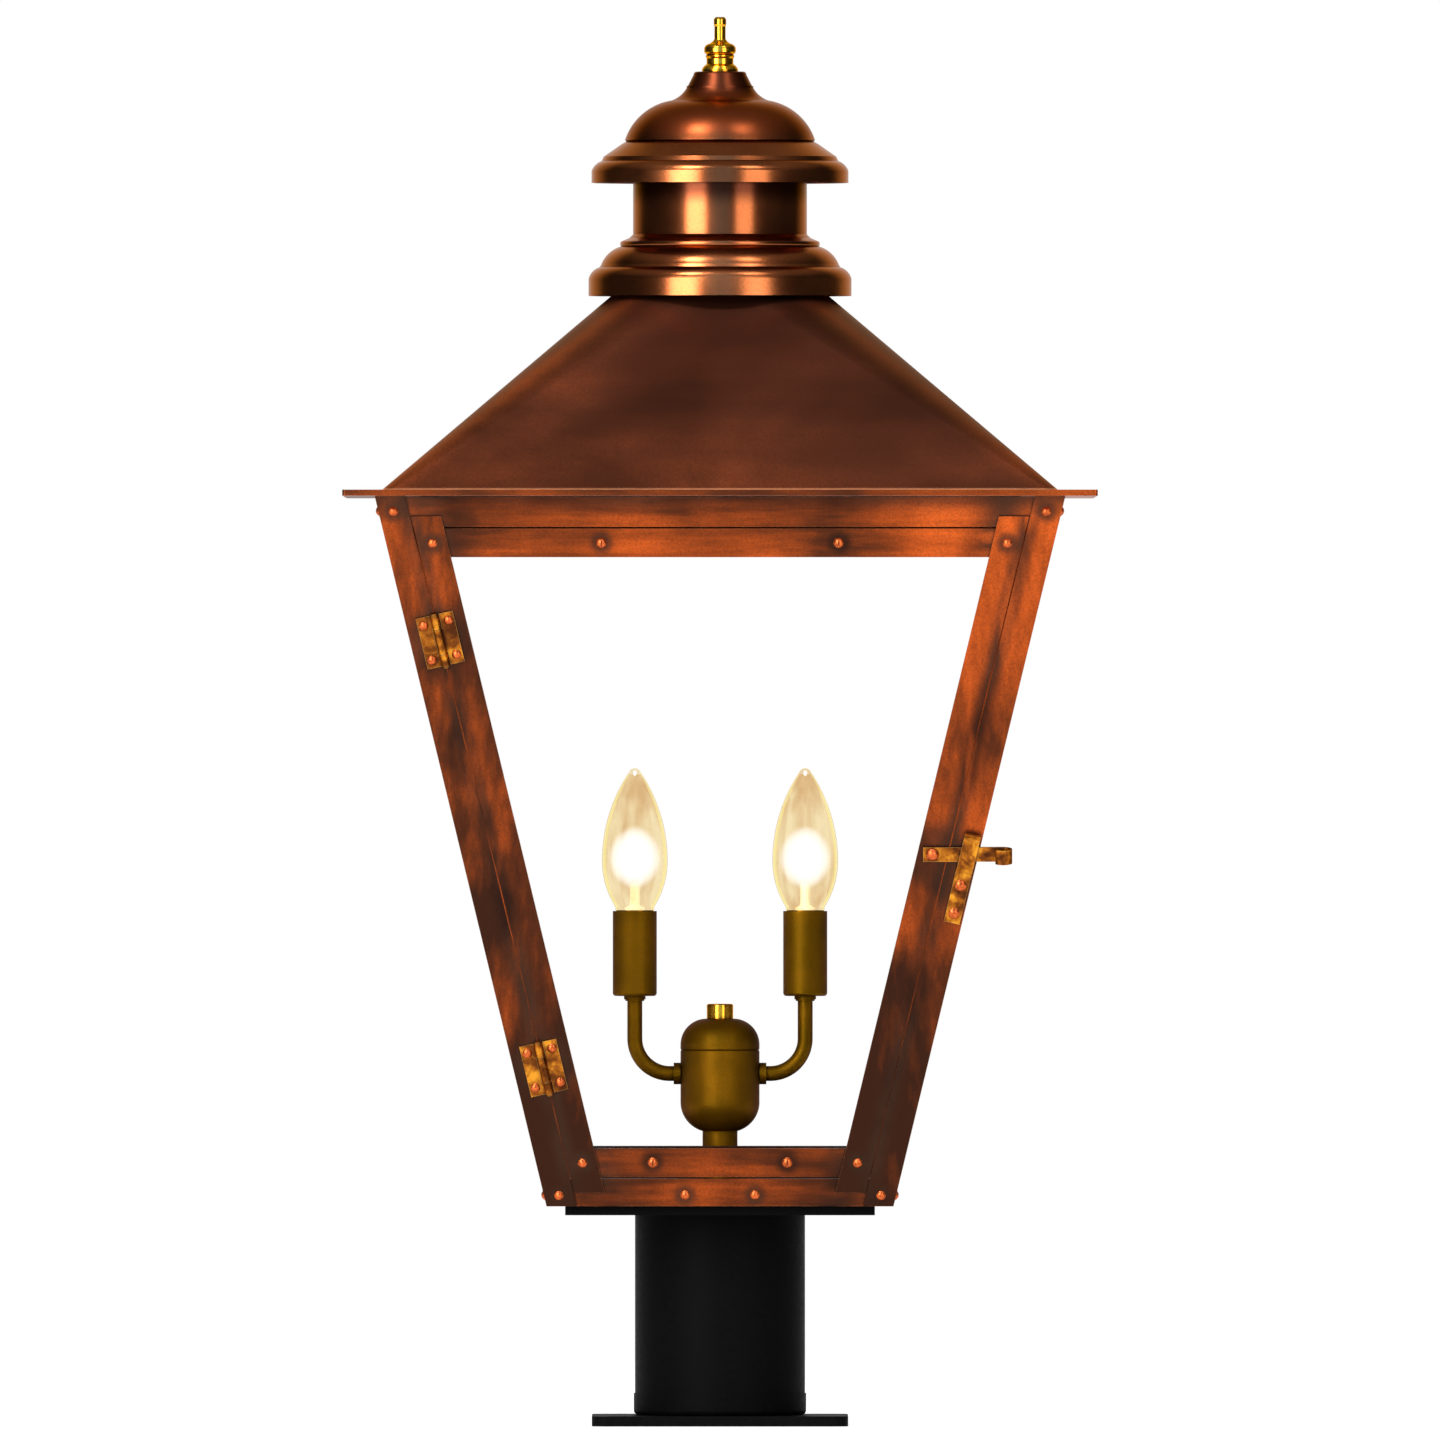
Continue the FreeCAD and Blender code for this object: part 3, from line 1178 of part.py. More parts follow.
def make_candles():
    """A collar on each arm, the round-bottomed sleeve on it and the socket that stands in the sleeve."""
    cup = turned("cup_pattern", [
        ("wire_hole", "0"), ("cup_radius - cup_step", "0"), ("cup_radius - cup_step", "cup_foot"),
        ("cup_radius", "cup_foot"), ("cup_radius", "cup_neck"), ("wire_hole", "cup_neck"),
    ], ARM_TOP)
    inner, inner_round = "(candle_radius - candle_wall)", "(candle_round - candle_wall)"
    sleeve = turned("sleeve_pattern", [
        ("wire_hole", "0"), ("candle_radius - candle_round", "0"),
        ("candle_radius", "candle_round", "candle_round"), ("candle_radius", "candle_height"),
        (inner, "candle_height"), (inner, "candle_round"),
        ("candle_radius - candle_round", "candle_wall", f"-{inner_round}"), ("wire_hole", "candle_wall"),
    ], CANDLE_SEAT)
    foot = "(socket_radius - candle_round)"
    socket = turned("socket_pattern", [
        ("wire_hole", "candle_wall"), (foot, "candle_wall"),
        ("socket_radius", "candle_round + candle_wall"), ("socket_radius", "socket_top"),
        ("socket_bore", "socket_top"), ("socket_bore", "socket_floor"), ("wire_hole", "socket_floor"),
    ], CANDLE_SEAT)
    doc.recompute()
    places = [at("-arm_reach"), at("arm_reach")]
    copies("socket_cups", cup.Shape, places)
    copies("lamp_sockets", socket.Shape, places)
    copies("candle_sleeves", sleeve.Shape, places)


def bulb_outline():
    """The hollow torpedo glass: down its outside from the tip to the neck, and up its inside."""
    tip = "(glass_tip - glass_tip_drop)"
    inner_tip = "(glass_tip - glass_tip_thick)"
    belly, neck = "(glass_belly_radius - bulb_glass_wall)", "(glass_neck_radius - bulb_glass_wall)"
    shoulder = cap_radius(f"{tip} - glass_belly", "glass_belly_radius - glass_tip_radius")
    taper = cap_radius("glass_belly - glass_neck", "glass_belly_radius - glass_neck_radius")
    inner_shoulder = cap_radius(f"{inner_tip} - glass_belly", f"{belly} - glass_tip_radius")
    inner_taper = cap_radius("glass_belly - glass_neck", f"{belly} - {neck}")
    return [
        ("0", "glass_tip"),
        ("glass_tip_radius", tip, "-" + cap_radius("glass_tip_radius", "glass_tip_drop")),
        ("glass_belly_radius", "glass_belly", f"-{shoulder}"),
        ("glass_neck_radius", "glass_neck", f"-{taper}"),
        ("glass_neck_radius", "0"), (neck, "0"), (neck, "glass_neck"),
        (belly, "glass_belly", inner_taper), ("glass_tip_radius", inner_tip, inner_shoulder),
        ("0", inner_tip),
    ]


def make_bulbs():
    """Two candelabra bulbs: hollow glass, a screw base with its contact, and the filament mount."""
    seat = f"({CANDLE_TOP} + bulb_lift)"
    low = "-bulb_base_height"
    for name, x in (("left", "-arm_reach"), ("right", "arm_reach")):
        glass = turned(f"bulb_glass_{name}", bulb_outline(), seat)
        keep(glass, f"bulb_glass_{name}", at(x))
        base = turned(f"bulb_base_{name}", [
            ("0", f"{low} - bulb_contact"), ("bulb_contact_radius", f"{low} - bulb_contact"),
            ("bulb_contact_radius", low), ("bulb_base_radius - bulb_contact", low),
            ("bulb_base_radius", f"{low} + bulb_contact"), ("bulb_base_radius", "-bulb_collar"),
            ("bulb_collar_radius", "-bulb_collar / 2"), ("bulb_collar_radius", "0"), ("0", "0"),
        ], seat)
        keep(base, f"bulb_base_{name}", at(x))
        mount = turned(f"bulb_mount_{name}", [
            ("0", "0"), ("mount_flare", "0"), ("mount_flare", "mount_rim"),
            ("mount_radius", "mount_flare_height"), ("mount_radius", "mount_height"),
            ("0", "mount_height + mount_radius", "mount_radius"),
        ], seat)
        keep(mount, f"bulb_mount_{name}", at(x))


# ---------------------------------------------------------------- build, check and write

def check_document():
    doc.recompute()
    for item in doc.Objects:
        if "Invalid" in item.State or "Error" in item.State:
            raise ValueError(f"{item.Name} failed: {item.State}")
    for piece in nodes:
        if piece.Shape.isNull() or not piece.Shape.isValid():
            raise ValueError(f"{piece.Label} has no valid shape")
    labels = [piece.Label for piece in nodes]
    if len(set(labels)) != len(labels):
        raise ValueError("two sub-parts share a name")


def write_steps():
    os.makedirs("parts", exist_ok=True)
    for piece in nodes:
        piece.Shape.exportStep(f"parts/{piece.Label}.step")
    print(f"{len(nodes)} sub-parts written")


def main():
    make_base_flange()
    make_pedestal_foot()
    make_pedestal_tube()
    make_top_plate()
    make_base_bolts()
    make_floor_pan()
    make_corner_posts()
    make_rails()
    make_side_glazing()
    make_frame_rivets()
    make_stop_screws()
    make_door_stiles()
    make_door_rails()
    make_door_glazing()
    make_door_fasteners()
    make_hinges()
    make_latch_bar()
    make_latch_rivet()
    make_keeper()
    make_eave()
    make_roof()
    make_drum()
    make_skirt()
    make_cap()
    make_bridge()
    make_tie_rod()
    make_finial()
    make_stem()
    make_cluster()
    make_arms()
    make_candles()
    make_bulbs()
    check_document()
    write_steps()


main()
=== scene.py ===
"""A square copper post top lantern with two lit candle bulbs, in a plain white studio. Metres.

The door faces -Y. Sheets, posts, turned parts and fasteners are the frame's own nodes, dressed here;
the fine wires inside the bulbs are made here.
"""

import math

import bpy
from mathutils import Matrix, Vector


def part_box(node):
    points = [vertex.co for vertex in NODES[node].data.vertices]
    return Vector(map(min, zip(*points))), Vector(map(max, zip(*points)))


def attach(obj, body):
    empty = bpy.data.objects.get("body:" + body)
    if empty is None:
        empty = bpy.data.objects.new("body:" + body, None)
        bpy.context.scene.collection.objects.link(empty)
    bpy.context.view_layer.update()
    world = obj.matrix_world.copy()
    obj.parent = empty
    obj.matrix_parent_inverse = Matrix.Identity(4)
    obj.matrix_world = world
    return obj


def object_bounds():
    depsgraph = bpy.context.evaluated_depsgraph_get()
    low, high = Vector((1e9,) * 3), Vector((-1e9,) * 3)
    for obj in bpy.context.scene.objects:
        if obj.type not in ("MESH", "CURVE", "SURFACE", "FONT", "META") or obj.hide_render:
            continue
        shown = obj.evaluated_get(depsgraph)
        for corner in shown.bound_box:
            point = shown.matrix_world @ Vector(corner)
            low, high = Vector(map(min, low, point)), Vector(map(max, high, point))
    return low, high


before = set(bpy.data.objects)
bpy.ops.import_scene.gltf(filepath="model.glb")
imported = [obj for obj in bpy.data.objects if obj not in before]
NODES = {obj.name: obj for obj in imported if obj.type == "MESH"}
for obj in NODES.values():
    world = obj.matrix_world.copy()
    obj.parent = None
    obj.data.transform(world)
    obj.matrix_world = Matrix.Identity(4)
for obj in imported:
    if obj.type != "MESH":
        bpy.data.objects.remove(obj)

CAD_LOW, CAD_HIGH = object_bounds()
MM = 0.001
SIDES = ("left", "right")
UP = Vector((0, 0, 1))

# the picture: its whole width at the object, and the height of its middle
PICTURE_WIDTH = 0.72
PICTURE_MIDDLE = 0.3525
CAMERA_DISTANCE = 30.0
SENSOR_WIDTH = 36.0
CAMERA_REACH = 200.0

# the studio
LAMP_DISTANCE = 2.5
FLOOR_REACH = 3.0
FLOOR_GAP = 0.3 * MM

# the wires in a bulb: supports that rise from the mount's foot ring to the filament's ring
SUPPORT_COUNT = 6
SUPPORT_START = 200      # degrees
SUPPORT_STEP = 56
SUPPORT_WIRE = 0.22 * MM
FOOT_DEPTH = 1.2 * MM
FOOT_RADIUS = 1.5 * MM
KNEE_RISE = 4 * MM
KNEE_SPREAD = 1.25
RING_RADIUS = 6.2 * MM
RING_SHARE = 0.37        # of the glass's height
COIL_TURNS = 16
COIL_RADIUS = 0.42 * MM
COIL_WIRE = 0.1 * MM

# a lit bulb's glass, from its tip down: where its painted glint and painted glow sit
GLINT_DEPTH = 2.4 * MM
FILAMENT_DEPTH = 45 * MM
GLOW_WIDTH = 0.44        # of the way from square on to the outline
GLOW_HEIGHT = 13.5 * MM


def tone(red, green, blue):
    """A colour from its 0 to 255 display values."""
    def linear(value):
        value /= 255
        return value / 12.92 if value <= 0.04045 else ((value + 0.055) / 1.055) ** 2.4
    return (linear(red), linear(green), linear(blue), 1.0)


WHITE = (1.0, 1.0, 1.0, 1.0)


# ---------------------------------------------------------------- node trees

class Shader:
    """One node tree with short calls for the nodes used here."""

    def __init__(self, tree):
        self.tree = tree
        self.tree.nodes.clear()

    def feed(self, socket, value):
        if isinstance(value, bpy.types.NodeSocket):
            self.tree.links.new(value, socket)
        else:
            socket.default_value = value

    def node(self, kind, inputs=None, **settings):
        node = self.tree.nodes.new(kind)
        for name, value in settings.items():
            setattr(node, name, value)
        for socket, value in (inputs or {}).items():
            self.feed(node.inputs[socket], value)
        return node

    # places and numbers

    def place(self):
        """Where the surface is in its own object, in metres."""
        return self.node("ShaderNodeTexCoord").outputs["Object"]

    def axes(self, vector):
        """The x, y and z of a vector."""
        return tuple(self.node("ShaderNodeSeparateXYZ", {0: vector}).outputs)

    def vector_math(self, operation, first, second=None):
        inputs = {0: first} if second is None else {0: first, 1: second}
        return self.node("ShaderNodeVectorMath", inputs, operation=operation)

    def stretched(self, place, scale):
        return self.vector_math("MULTIPLY", place, scale).outputs[0]

    def distance(self, place, point):
        return self.vector_math("DISTANCE", place, tuple(point)).outputs["Value"]

    def noise(self, place, scale, detail=4.0, roughness=0.55, distortion=0.0):
        inputs = {
            "Vector": place, "Scale": scale, "Detail": detail,
            "Roughness": roughness, "Distortion": distortion,
        }
        return self.node("ShaderNodeTexNoise", inputs).outputs["Fac"]

    def math(self, operation, first, second=0.0):
        return self.node("ShaderNodeMath", {0: first, 1: second}, operation=operation).outputs[0]

    def product(self, first, *others):
        for other in others:
            first = self.math("MULTIPLY", first, other)
        return first

    def largest(self, first, *others):
        for other in others:
            first = self.math("MAXIMUM", first, other)
        return first

    def weighted(self, *terms):
        """The sum of (value, weight) terms."""
        total, *others = [self.math("MULTIPLY", value, weight) for value, weight in terms]
        for other in others:
            total = self.math("ADD", total, other)
        return total

    def smooth(self, value, low, high, start=0.0, end=1.0):
        """From start to end as the value goes from low to high, with soft ends."""
        inputs = {"Value": value, 1: low, 2: high, 3: start, 4: end}
        settings = {"interpolation_type": "SMOOTHSTEP"}
        return self.node("ShaderNodeMapRange", inputs, **settings).outputs["Result"]

    # what the surface and the light are like

    def crevice(self, reach):
        """0 deep in a corner or under an overlap, 1 in the open."""
        node = self.node("ShaderNodeAmbientOcclusion", {"Distance": reach}, samples=6)
        return node.outputs["AO"]

    def edge_wear_and_highlight(self, reach):
        """0 on flat metal, rising towards 1 along its edges: where edge wear and painted highlights
        go.
        """
        rounded = self.node("ShaderNodeBevel", {"Radius": reach}, samples=6).outputs[0]
        flat = self.node("ShaderNodeNewGeometry").outputs["Normal"]
        turned = self.vector_math("DOT_PRODUCT", rounded, flat).outputs["Value"]
        return self.smooth(turned, 0.8, 0.995, 1.0, 0.0)

    def facing(self):
        """0 where the surface is seen square on, 1 at its outline."""
        return self.node("ShaderNodeLayerWeight", {"Blend": 0.5}).outputs["Facing"]

    def path(self, *names):
        """1 for a ray of any of these kinds."""
        rays = [self.node("ShaderNodeLightPath").outputs[name] for name in names]
        return self.largest(*rays)

    def bump(self, height, strength, distance):
        inputs = {"Strength": strength, "Distance": distance, "Height": height}
        return self.node("ShaderNodeBump", inputs).outputs["Normal"]

    # colours

    def ramp(self, value, *stops):
        """A colour for the value: each stop is (position, colour)."""
        node = self.node("ShaderNodeValToRGB", {"Fac": value})
        elements = node.color_ramp.elements
        while len(elements) < len(stops):
            elements.new(0.5)
        for element, (position, colour) in zip(elements, stops):
            element.position = position
            element.color = colour
        return node.outputs["Color"]

    def mixed(self, share, first, second, blend="MIX"):
        node = self.node("ShaderNodeMix", data_type="RGBA", blend_type=blend)
        for socket, value in ((0, share), (6, first), (7, second)):
            self.feed(node.inputs[socket], value)
        return node.outputs[2]

    def speckled(self, colour, speckle, share, dark):
        """The colour with a fine scatter of a darker one."""
        return self.mixed(self.smooth(speckle, 0.35, 0.7, 0.0, share), colour, dark)

    def with_painted_shade(self, colour, reach, low, high, dark):
        """The colour, going over to a darker one in corners and under overlaps: painted shade from
        ambient occlusion.
        """
        return self.mixed(self.smooth(self.crevice(reach), low, high), dark, colour)

    def with_edge_wear_and_highlight(self, colour, reach, share, bright):
        """The colour, going over to a brighter one along its edges: edge wear and a painted
        highlight.
        """
        return self.mixed(self.product(self.edge_wear_and_highlight(reach), share), colour, bright)

    # surfaces

    def principled(self, **inputs):
        """A principled surface, its sockets named in small letters with underscores."""
        named = {}
        for name, value in inputs.items():
            named[name.replace("_", " ").title().replace("Ior", "IOR")] = value
        return self.node("ShaderNodeBsdfPrincipled", named).outputs[0]

    def see_through(self, colour):
        return self.node("ShaderNodeBsdfTransparent", {"Color": colour}).outputs[0]

    def emission(self, colour, strength):
        return self.node("ShaderNodeEmission", {"Color": colour, "Strength": strength}).outputs[0]

    def mixed_shader(self, share, first, second):
        return self.node("ShaderNodeMixShader", {0: share, 1: first, 2: second}).outputs[0]

    def added_shader(self, first, second):
        return self.node("ShaderNodeAddShader", {0: first, 1: second}).outputs[0]

    def finish(self, surface, kind="ShaderNodeOutputMaterial"):
        self.node(kind, {"Surface": surface})


def new_shader(name):
    material = bpy.data.materials.new(name)
    material.use_nodes = True
    return material, Shader(material.node_tree)


def dress(material, *names):
    for name in names:
        mesh = NODES[name].data
        mesh.materials.clear()
        mesh.materials.append(material)


def add_to_scene(thing):
    bpy.context.scene.collection.objects.link(thing)


# ---------------------------------------------------------------- where the fasteners are

def spots(name, reach=4 * MM):
    """The middle of each separate fastener in a node, from its corners that lie close together."""
    groups = []
    for vertex in NODES[name].data.vertices:
        for group in groups:
            if (group[0] / group[1] - vertex.co).length < reach:
                group[0] += vertex.co
                group[1] += 1
                break
        else:
            groups.append([vertex.co.copy(), 1])
    return [total / count for total, count in groups]


def folded(point):
    """A point with the lantern's four faces and their two halves laid on one another."""
    across, along = sorted((abs(point.x), abs(point.y)))
    return Vector((along, across, point.z))


def mirrored(points, apart=2 * MM):
    """The points that have a twin on the other side of the door's middle line."""
    twins = [Vector((-point.x, point.y, point.z)) for point in points]
    return [point for point in points if any((point - twin).length < apart for twin in twins)]


def distinct(points, apart=6 * MM):
    kept = []
    for point in points:
        if all((point - other).length > apart for other in kept):
            kept.append(point)
    return kept


def centre(name):
    low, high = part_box(name)
    return (low + high) / 2


def fastener_points():
    """The folded places of the rivets and screws that sit alike on both halves of a face."""
    points = spots("frame_rivets") + spots("door_rivets") + spots("door_screws")
    return distinct([folded(point) for point in mirrored(points)])


def fitting_points():
    """The middles of the latch's parts and of each hinge pin."""
    return [centre("latch_keeper"), centre("latch_rivet")] + spots("hinge_pins", 30 * MM)


# ---------------------------------------------------------------- copper

def folded_place(shader, place):
    """The folded point, as shader nodes."""
    x, y, z = shader.axes(shader.vector_math("ABSOLUTE", place).outputs[0])
    inputs = {"X": shader.math("MAXIMUM", x, y), "Y": shader.math("MINIMUM", x, y), "Z": z}
    return shader.node("ShaderNodeCombineXYZ", inputs).outputs[0]


def clear_of(shader, place, points, inner, outer):
    """0 within the inner distance of any of the points, 1 past the outer one."""
    return shader.product(
        *[shader.smooth(shader.distance(place, point), inner, outer) for point in points]
    )


def frame_copper(name, grain, seam, spread, foot=0.0, top=0.035, eave_shadow_level=0.3):
    """Antiqued sheet: orange brown with long streaks, dark patina at seams and fasteners, painted
    shade in the same dark colour in crevices and under the eave, and edges brightened by wear and
    painted highlight.

    The seam is how far from the lantern's upright corners the sheet meets its neighbour, and the
    spread how far from there the patina reaches, both in millimetres. Foot and top are how much
    brighter the sheet is low and high up, and the last argument is the share of its colour that the
    painted shadow under the eave leaves at the top.
    """
    material, shader = new_shader(name)
    place = shader.place()
    folded_point = folded_place(shader, place)
    along, across, height = shader.axes(folded_point)
    side = shader.axes(place)[0]
    streaks = shader.noise(shader.stretched(place, grain), 1.0, 5.0, 0.6)
    clouds = shader.noise(place, 17.0, 3.0, 0.5)
    speckle = shader.noise(place, 900.0, 3.0, 0.65)

    low, high = (corner.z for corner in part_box("corner_post_front_left"))
    rise = shader.smooth(height, low, low + 0.55 * (high - low), foot, top)
    warm = shader.smooth(side, 60 * MM, 130 * MM, -0.045, 0.085)
    colour_level = shader.weighted((streaks, 0.45), (clouds, 0.55), (rise, 1.0), (warm, 1.0))
    body = shader.ramp(
        colour_level,
        (0.38, tone(54, 29, 19)), (0.46, tone(84, 40, 21)), (0.54, tone(124, 55, 23)),
        (0.64, tone(166, 72, 27)), (0.74, tone(200, 88, 33)),
    )

    coarse_grain = tuple(0.5 * value for value in grain)
    patch = shader.noise(shader.stretched(place, coarse_grain), 1.0, 3.0, 0.5)
    patches = shader.smooth(patch, 0.42, 0.6, 0.0, 0.62)
    from_corner = shader.math("SUBTRACT", along, across)
    from_seam = shader.math("ABSOLUTE", shader.math("SUBTRACT", from_corner, seam * MM))
    seam_clear = shader.smooth(from_seam, 0.4 * MM, spread * MM, 0.1, 1.0)
    # painted shadow of the eave: the sheet darkens over its top 11 millimetres
    eave_shadow_clear = shader.smooth(height, high - 11 * MM, high - 1 * MM, 1.0, eave_shadow_level)
    fastener_clear = clear_of(shader, folded_point, fastener_points(), 2 * MM, 9 * MM)
    fitting_clear = clear_of(shader, place, fitting_points(), 8 * MM, 24 * MM)
    # painted shade: crevices found by ambient occlusion take the dark colour
    unoccluded = shader.smooth(shader.crevice(9 * MM), 0.3, 0.99)
    clear = shader.product(
        shader.smooth(fastener_clear, 0.0, 1.0, 0.2, 1.0),
        shader.product(shader.largest(seam_clear, patches), eave_shadow_clear),
        shader.smooth(fitting_clear, 0.0, 1.0, 0.3, 1.0),
        shader.smooth(unoccluded, 0.0, 1.0, 0.05, 1.0),
    )
    # one dark colour for the patina and for the painted shade
    patina_and_shade = shader.ramp(clouds, (0.4, tone(36, 23, 18)), (0.6, tone(60, 40, 30)))
    colour = shader.mixed(clear, patina_and_shade, body)
    colour = shader.speckled(colour, speckle, 0.35, tone(54, 32, 22))
    # edge wear and a painted highlight: a bright line along the sheet's edges
    wear_and_highlight = shader.product(
        shader.edge_wear_and_highlight(0.6 * MM), shader.smooth(speckle, 0.3, 0.6, 0.5, 0.1),
        shader.smooth(seam_clear, 0.1, 0.5),
    )
    colour = shader.mixed(wear_and_highlight, colour, tone(190, 110, 70))

    grit = shader.weighted((speckle, 1.0), (streaks, 1.5))
    shader.finish(shader.principled(
        base_color=colour, metallic=1.0, roughness=shader.smooth(colour_level, 0.35, 0.65, 0.5, 0.4),
        normal=shader.bump(grit, 0.14, 0.15 * MM),
    ))
    return material


def roof_copper():
    """Brown satin sheet, brighter near its foot, with soft dark clouds, a painted highlight along its
    hips and edges, and painted shade towards its right side and in its crevices.
    """
    material, shader = new_shader("roof_copper")
    place = shader.place()
    side, _, height = shader.axes(place)
    along, across, _ = shader.axes(folded_place(shader, place))
    clouds = shader.noise(place, 10.0, 3.0, 0.5, 0.4)
    bands = shader.noise(shader.stretched(place, (7.0, 7.0, 60.0)), 1.0, 3.0, 0.5)
    speckle = shader.noise(place, 800.0, 3.0, 0.65)

    low, high = (corner.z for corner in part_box("roof_shell"))
    foot = shader.smooth(height, low, low + 0.6 * (high - low), 1.0, 0.0)
    # painted shade: the sheet darker towards its right side
    right_side_shade = shader.smooth(side, -50 * MM, 160 * MM, 0.0, -0.17)
    # painted highlight along the hips
    hip_highlight = shader.smooth(shader.math("SUBTRACT", along, across), 0.0, 20 * MM, 0.21, 0.0)
    colour_level = shader.weighted((clouds, 0.65), (bands, 0.25), (foot, 0.14), (right_side_shade, 1.0), (hip_highlight, 1.0))
    colour = shader.ramp(
        colour_level,
        (0.34, tone(86, 46, 32)), (0.46, tone(106, 56, 37)), (0.58, tone(134, 68, 42)),
        (0.72, tone(176, 86, 47)),
    )
    colour = shader.speckled(colour, speckle, 0.45, tone(84, 46, 34))
    # painted shade in corners and under overlaps
    colour = shader.with_painted_shade(colour, 10 * MM, 0.3, 0.95, tone(40, 28, 24))
    # edge wear and a painted highlight along the hips and edges
    colour = shader.with_edge_wear_and_highlight(colour, 2.2 * MM, 0.9, tone(240, 160, 112))
    shader.finish(shader.principled(
        base_color=colour, metallic=1.0, roughness=shader.smooth(clouds, 0.3, 0.7, 0.4, 0.5),
        specular_tint=tone(242, 208, 182), normal=shader.bump(speckle, 0.2, 0.12 * MM),
    ))
    return material


def spun_copper(name, cap_shadow=0.0):
    """The turned vent parts: satin copper with faint rings from the spinning lathe.

    The crown of the cap is redder and duller, its tip gets painted shade, and the last argument is
    how dark the painted shadow close under the cap gets.
    """
    material, shader = new_shader(name)
    place = shader.place()
    height = shader.axes(place)[2]
    rings = shader.noise(shader.stretched(place, (3.0, 3.0, 1300.0)), 1.0, 3.0, 0.6)
    clouds = shader.noise(place, 22.0, 3.0, 0.5)
    speckle = shader.noise(place, 900.0, 3.0, 0.65)

    low, high = (corner.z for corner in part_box("vent_cap"))
    rise = high - low
    crown = shader.smooth(height, low + 0.3 * rise, low + 0.5 * rise, 0.0, 0.85)
    # painted shade on the cap's tip
    tip_shade = shader.smooth(height, low + 0.76 * rise, low + 0.86 * rise, 0.0, 0.7)
    # painted shadow of the cap on the drum just under it
    under_cap_shadow = shader.smooth(height, low - 13 * MM, low - 3 * MM, 0.0, cap_shadow)
    colour = shader.ramp(
        clouds,
        (0.35, tone(154, 84, 47)), (0.5, tone(168, 94, 53)), (0.65, tone(180, 102, 59)),
    )
    colour = shader.mixed(crown, colour, tone(138, 60, 28))
    colour = shader.mixed(shader.largest(tip_shade, under_cap_shadow), colour, tone(70, 32, 20))
    colour = shader.speckled(colour, speckle, 0.25, tone(102, 56, 37))
    # painted shade in corners and under overlaps
    colour = shader.with_painted_shade(colour, 7 * MM, 0.25, 0.96, tone(42, 26, 20))
    satin = shader.smooth(clouds, 0.3, 0.7, 0.2, 0.26)
    turning = shader.weighted((rings, 0.5), (speckle, 1.0))
    shader.finish(shader.principled(
        base_color=colour, metallic=1.0, roughness=shader.weighted((satin, 1.0), (crown, 0.1)),
        specular_tint=tone(230, 200, 176), normal=shader.bump(turning, 0.05, 0.05 * MM),
    ))
    return material


def rivet_copper():
    """Bright domed rivet heads, with painted shade round their rims."""
    material, shader = new_shader("rivet_copper")
    marks = shader.noise(shader.place(), 900.0, 3.0, 0.6)
    colour = shader.ramp(marks, (0.35, tone(152, 66, 28)), (0.6, tone(212, 102, 48)))
    # painted shade round the rims
    colour = shader.with_painted_shade(colour, 1.6 * MM, 0.4, 0.85, tone(70, 32, 20))
    shader.finish(shader.principled(
        base_color=colour, metallic=0.9, roughness=shader.smooth(marks, 0.3, 0.7, 0.3, 0.42),
        normal=shader.bump(marks, 0.2, 0.1 * MM),
    ))
    return material


# ---------------------------------------------------------------- brass and bronze

def aged_brass():
    """Hinges, latch and keeper: golden brass that has gone brown in patches, with painted shade in
    corners.
    """
    material, shader = new_shader("aged_brass")
    place = shader.place()
    clouds = shader.noise(place, 110.0, 4.0, 0.6, 0.3)
    marks = shader.noise(place, 1300.0, 2.0, 0.6)
    colour = shader.ramp(
        clouds,
        (0.36, tone(72, 36, 16)), (0.46, tone(112, 60, 20)), (0.54, tone(156, 90, 26)),
        (0.66, tone(214, 142, 40)),
    )
    # painted shade in corners and under overlaps
    colour = shader.with_painted_shade(colour, 3 * MM, 0.35, 0.98, tone(58, 32, 18))
    # edge wear and a painted highlight along the edges
    colour = shader.with_edge_wear_and_highlight(colour, 0.4 * MM, 0.6, tone(226, 176, 96))
    shader.finish(shader.principled(
        base_color=colour, metallic=1.0, roughness=shader.smooth(clouds, 0.3, 0.7, 0.46, 0.3),
        specular_tint=tone(232, 176, 84), normal=shader.bump(marks, 0.12, 0.08 * MM),
    ))
    return material


def polished_brass():
    """The finial, the small turned nut and the bulbs' bases: bright, with fine turning marks."""
    material, shader = new_shader("polished_brass")
    place = shader.place()
    rings = shader.noise(shader.stretched(place, (8.0, 8.0, 2600.0)), 1.0, 2.0, 0.5)
    tint = shader.noise(place, 90.0, 2.0, 0.5)
    colour = shader.ramp(tint, (0.35, tone(208, 136, 28)), (0.65, tone(240, 176, 52)))
    # painted shade in corners and under overlaps
    colour = shader.with_painted_shade(colour, 2.5 * MM, 0.3, 0.95, tone(112, 60, 14))
    shader.finish(shader.principled(
        base_color=colour, metallic=1.0, roughness=shader.smooth(rings, 0.3, 0.7, 0.16, 0.24),
        specular_tint=tone(238, 200, 100), normal=shader.bump(rings, 0.05, 0.04 * MM),
    ))
    return material


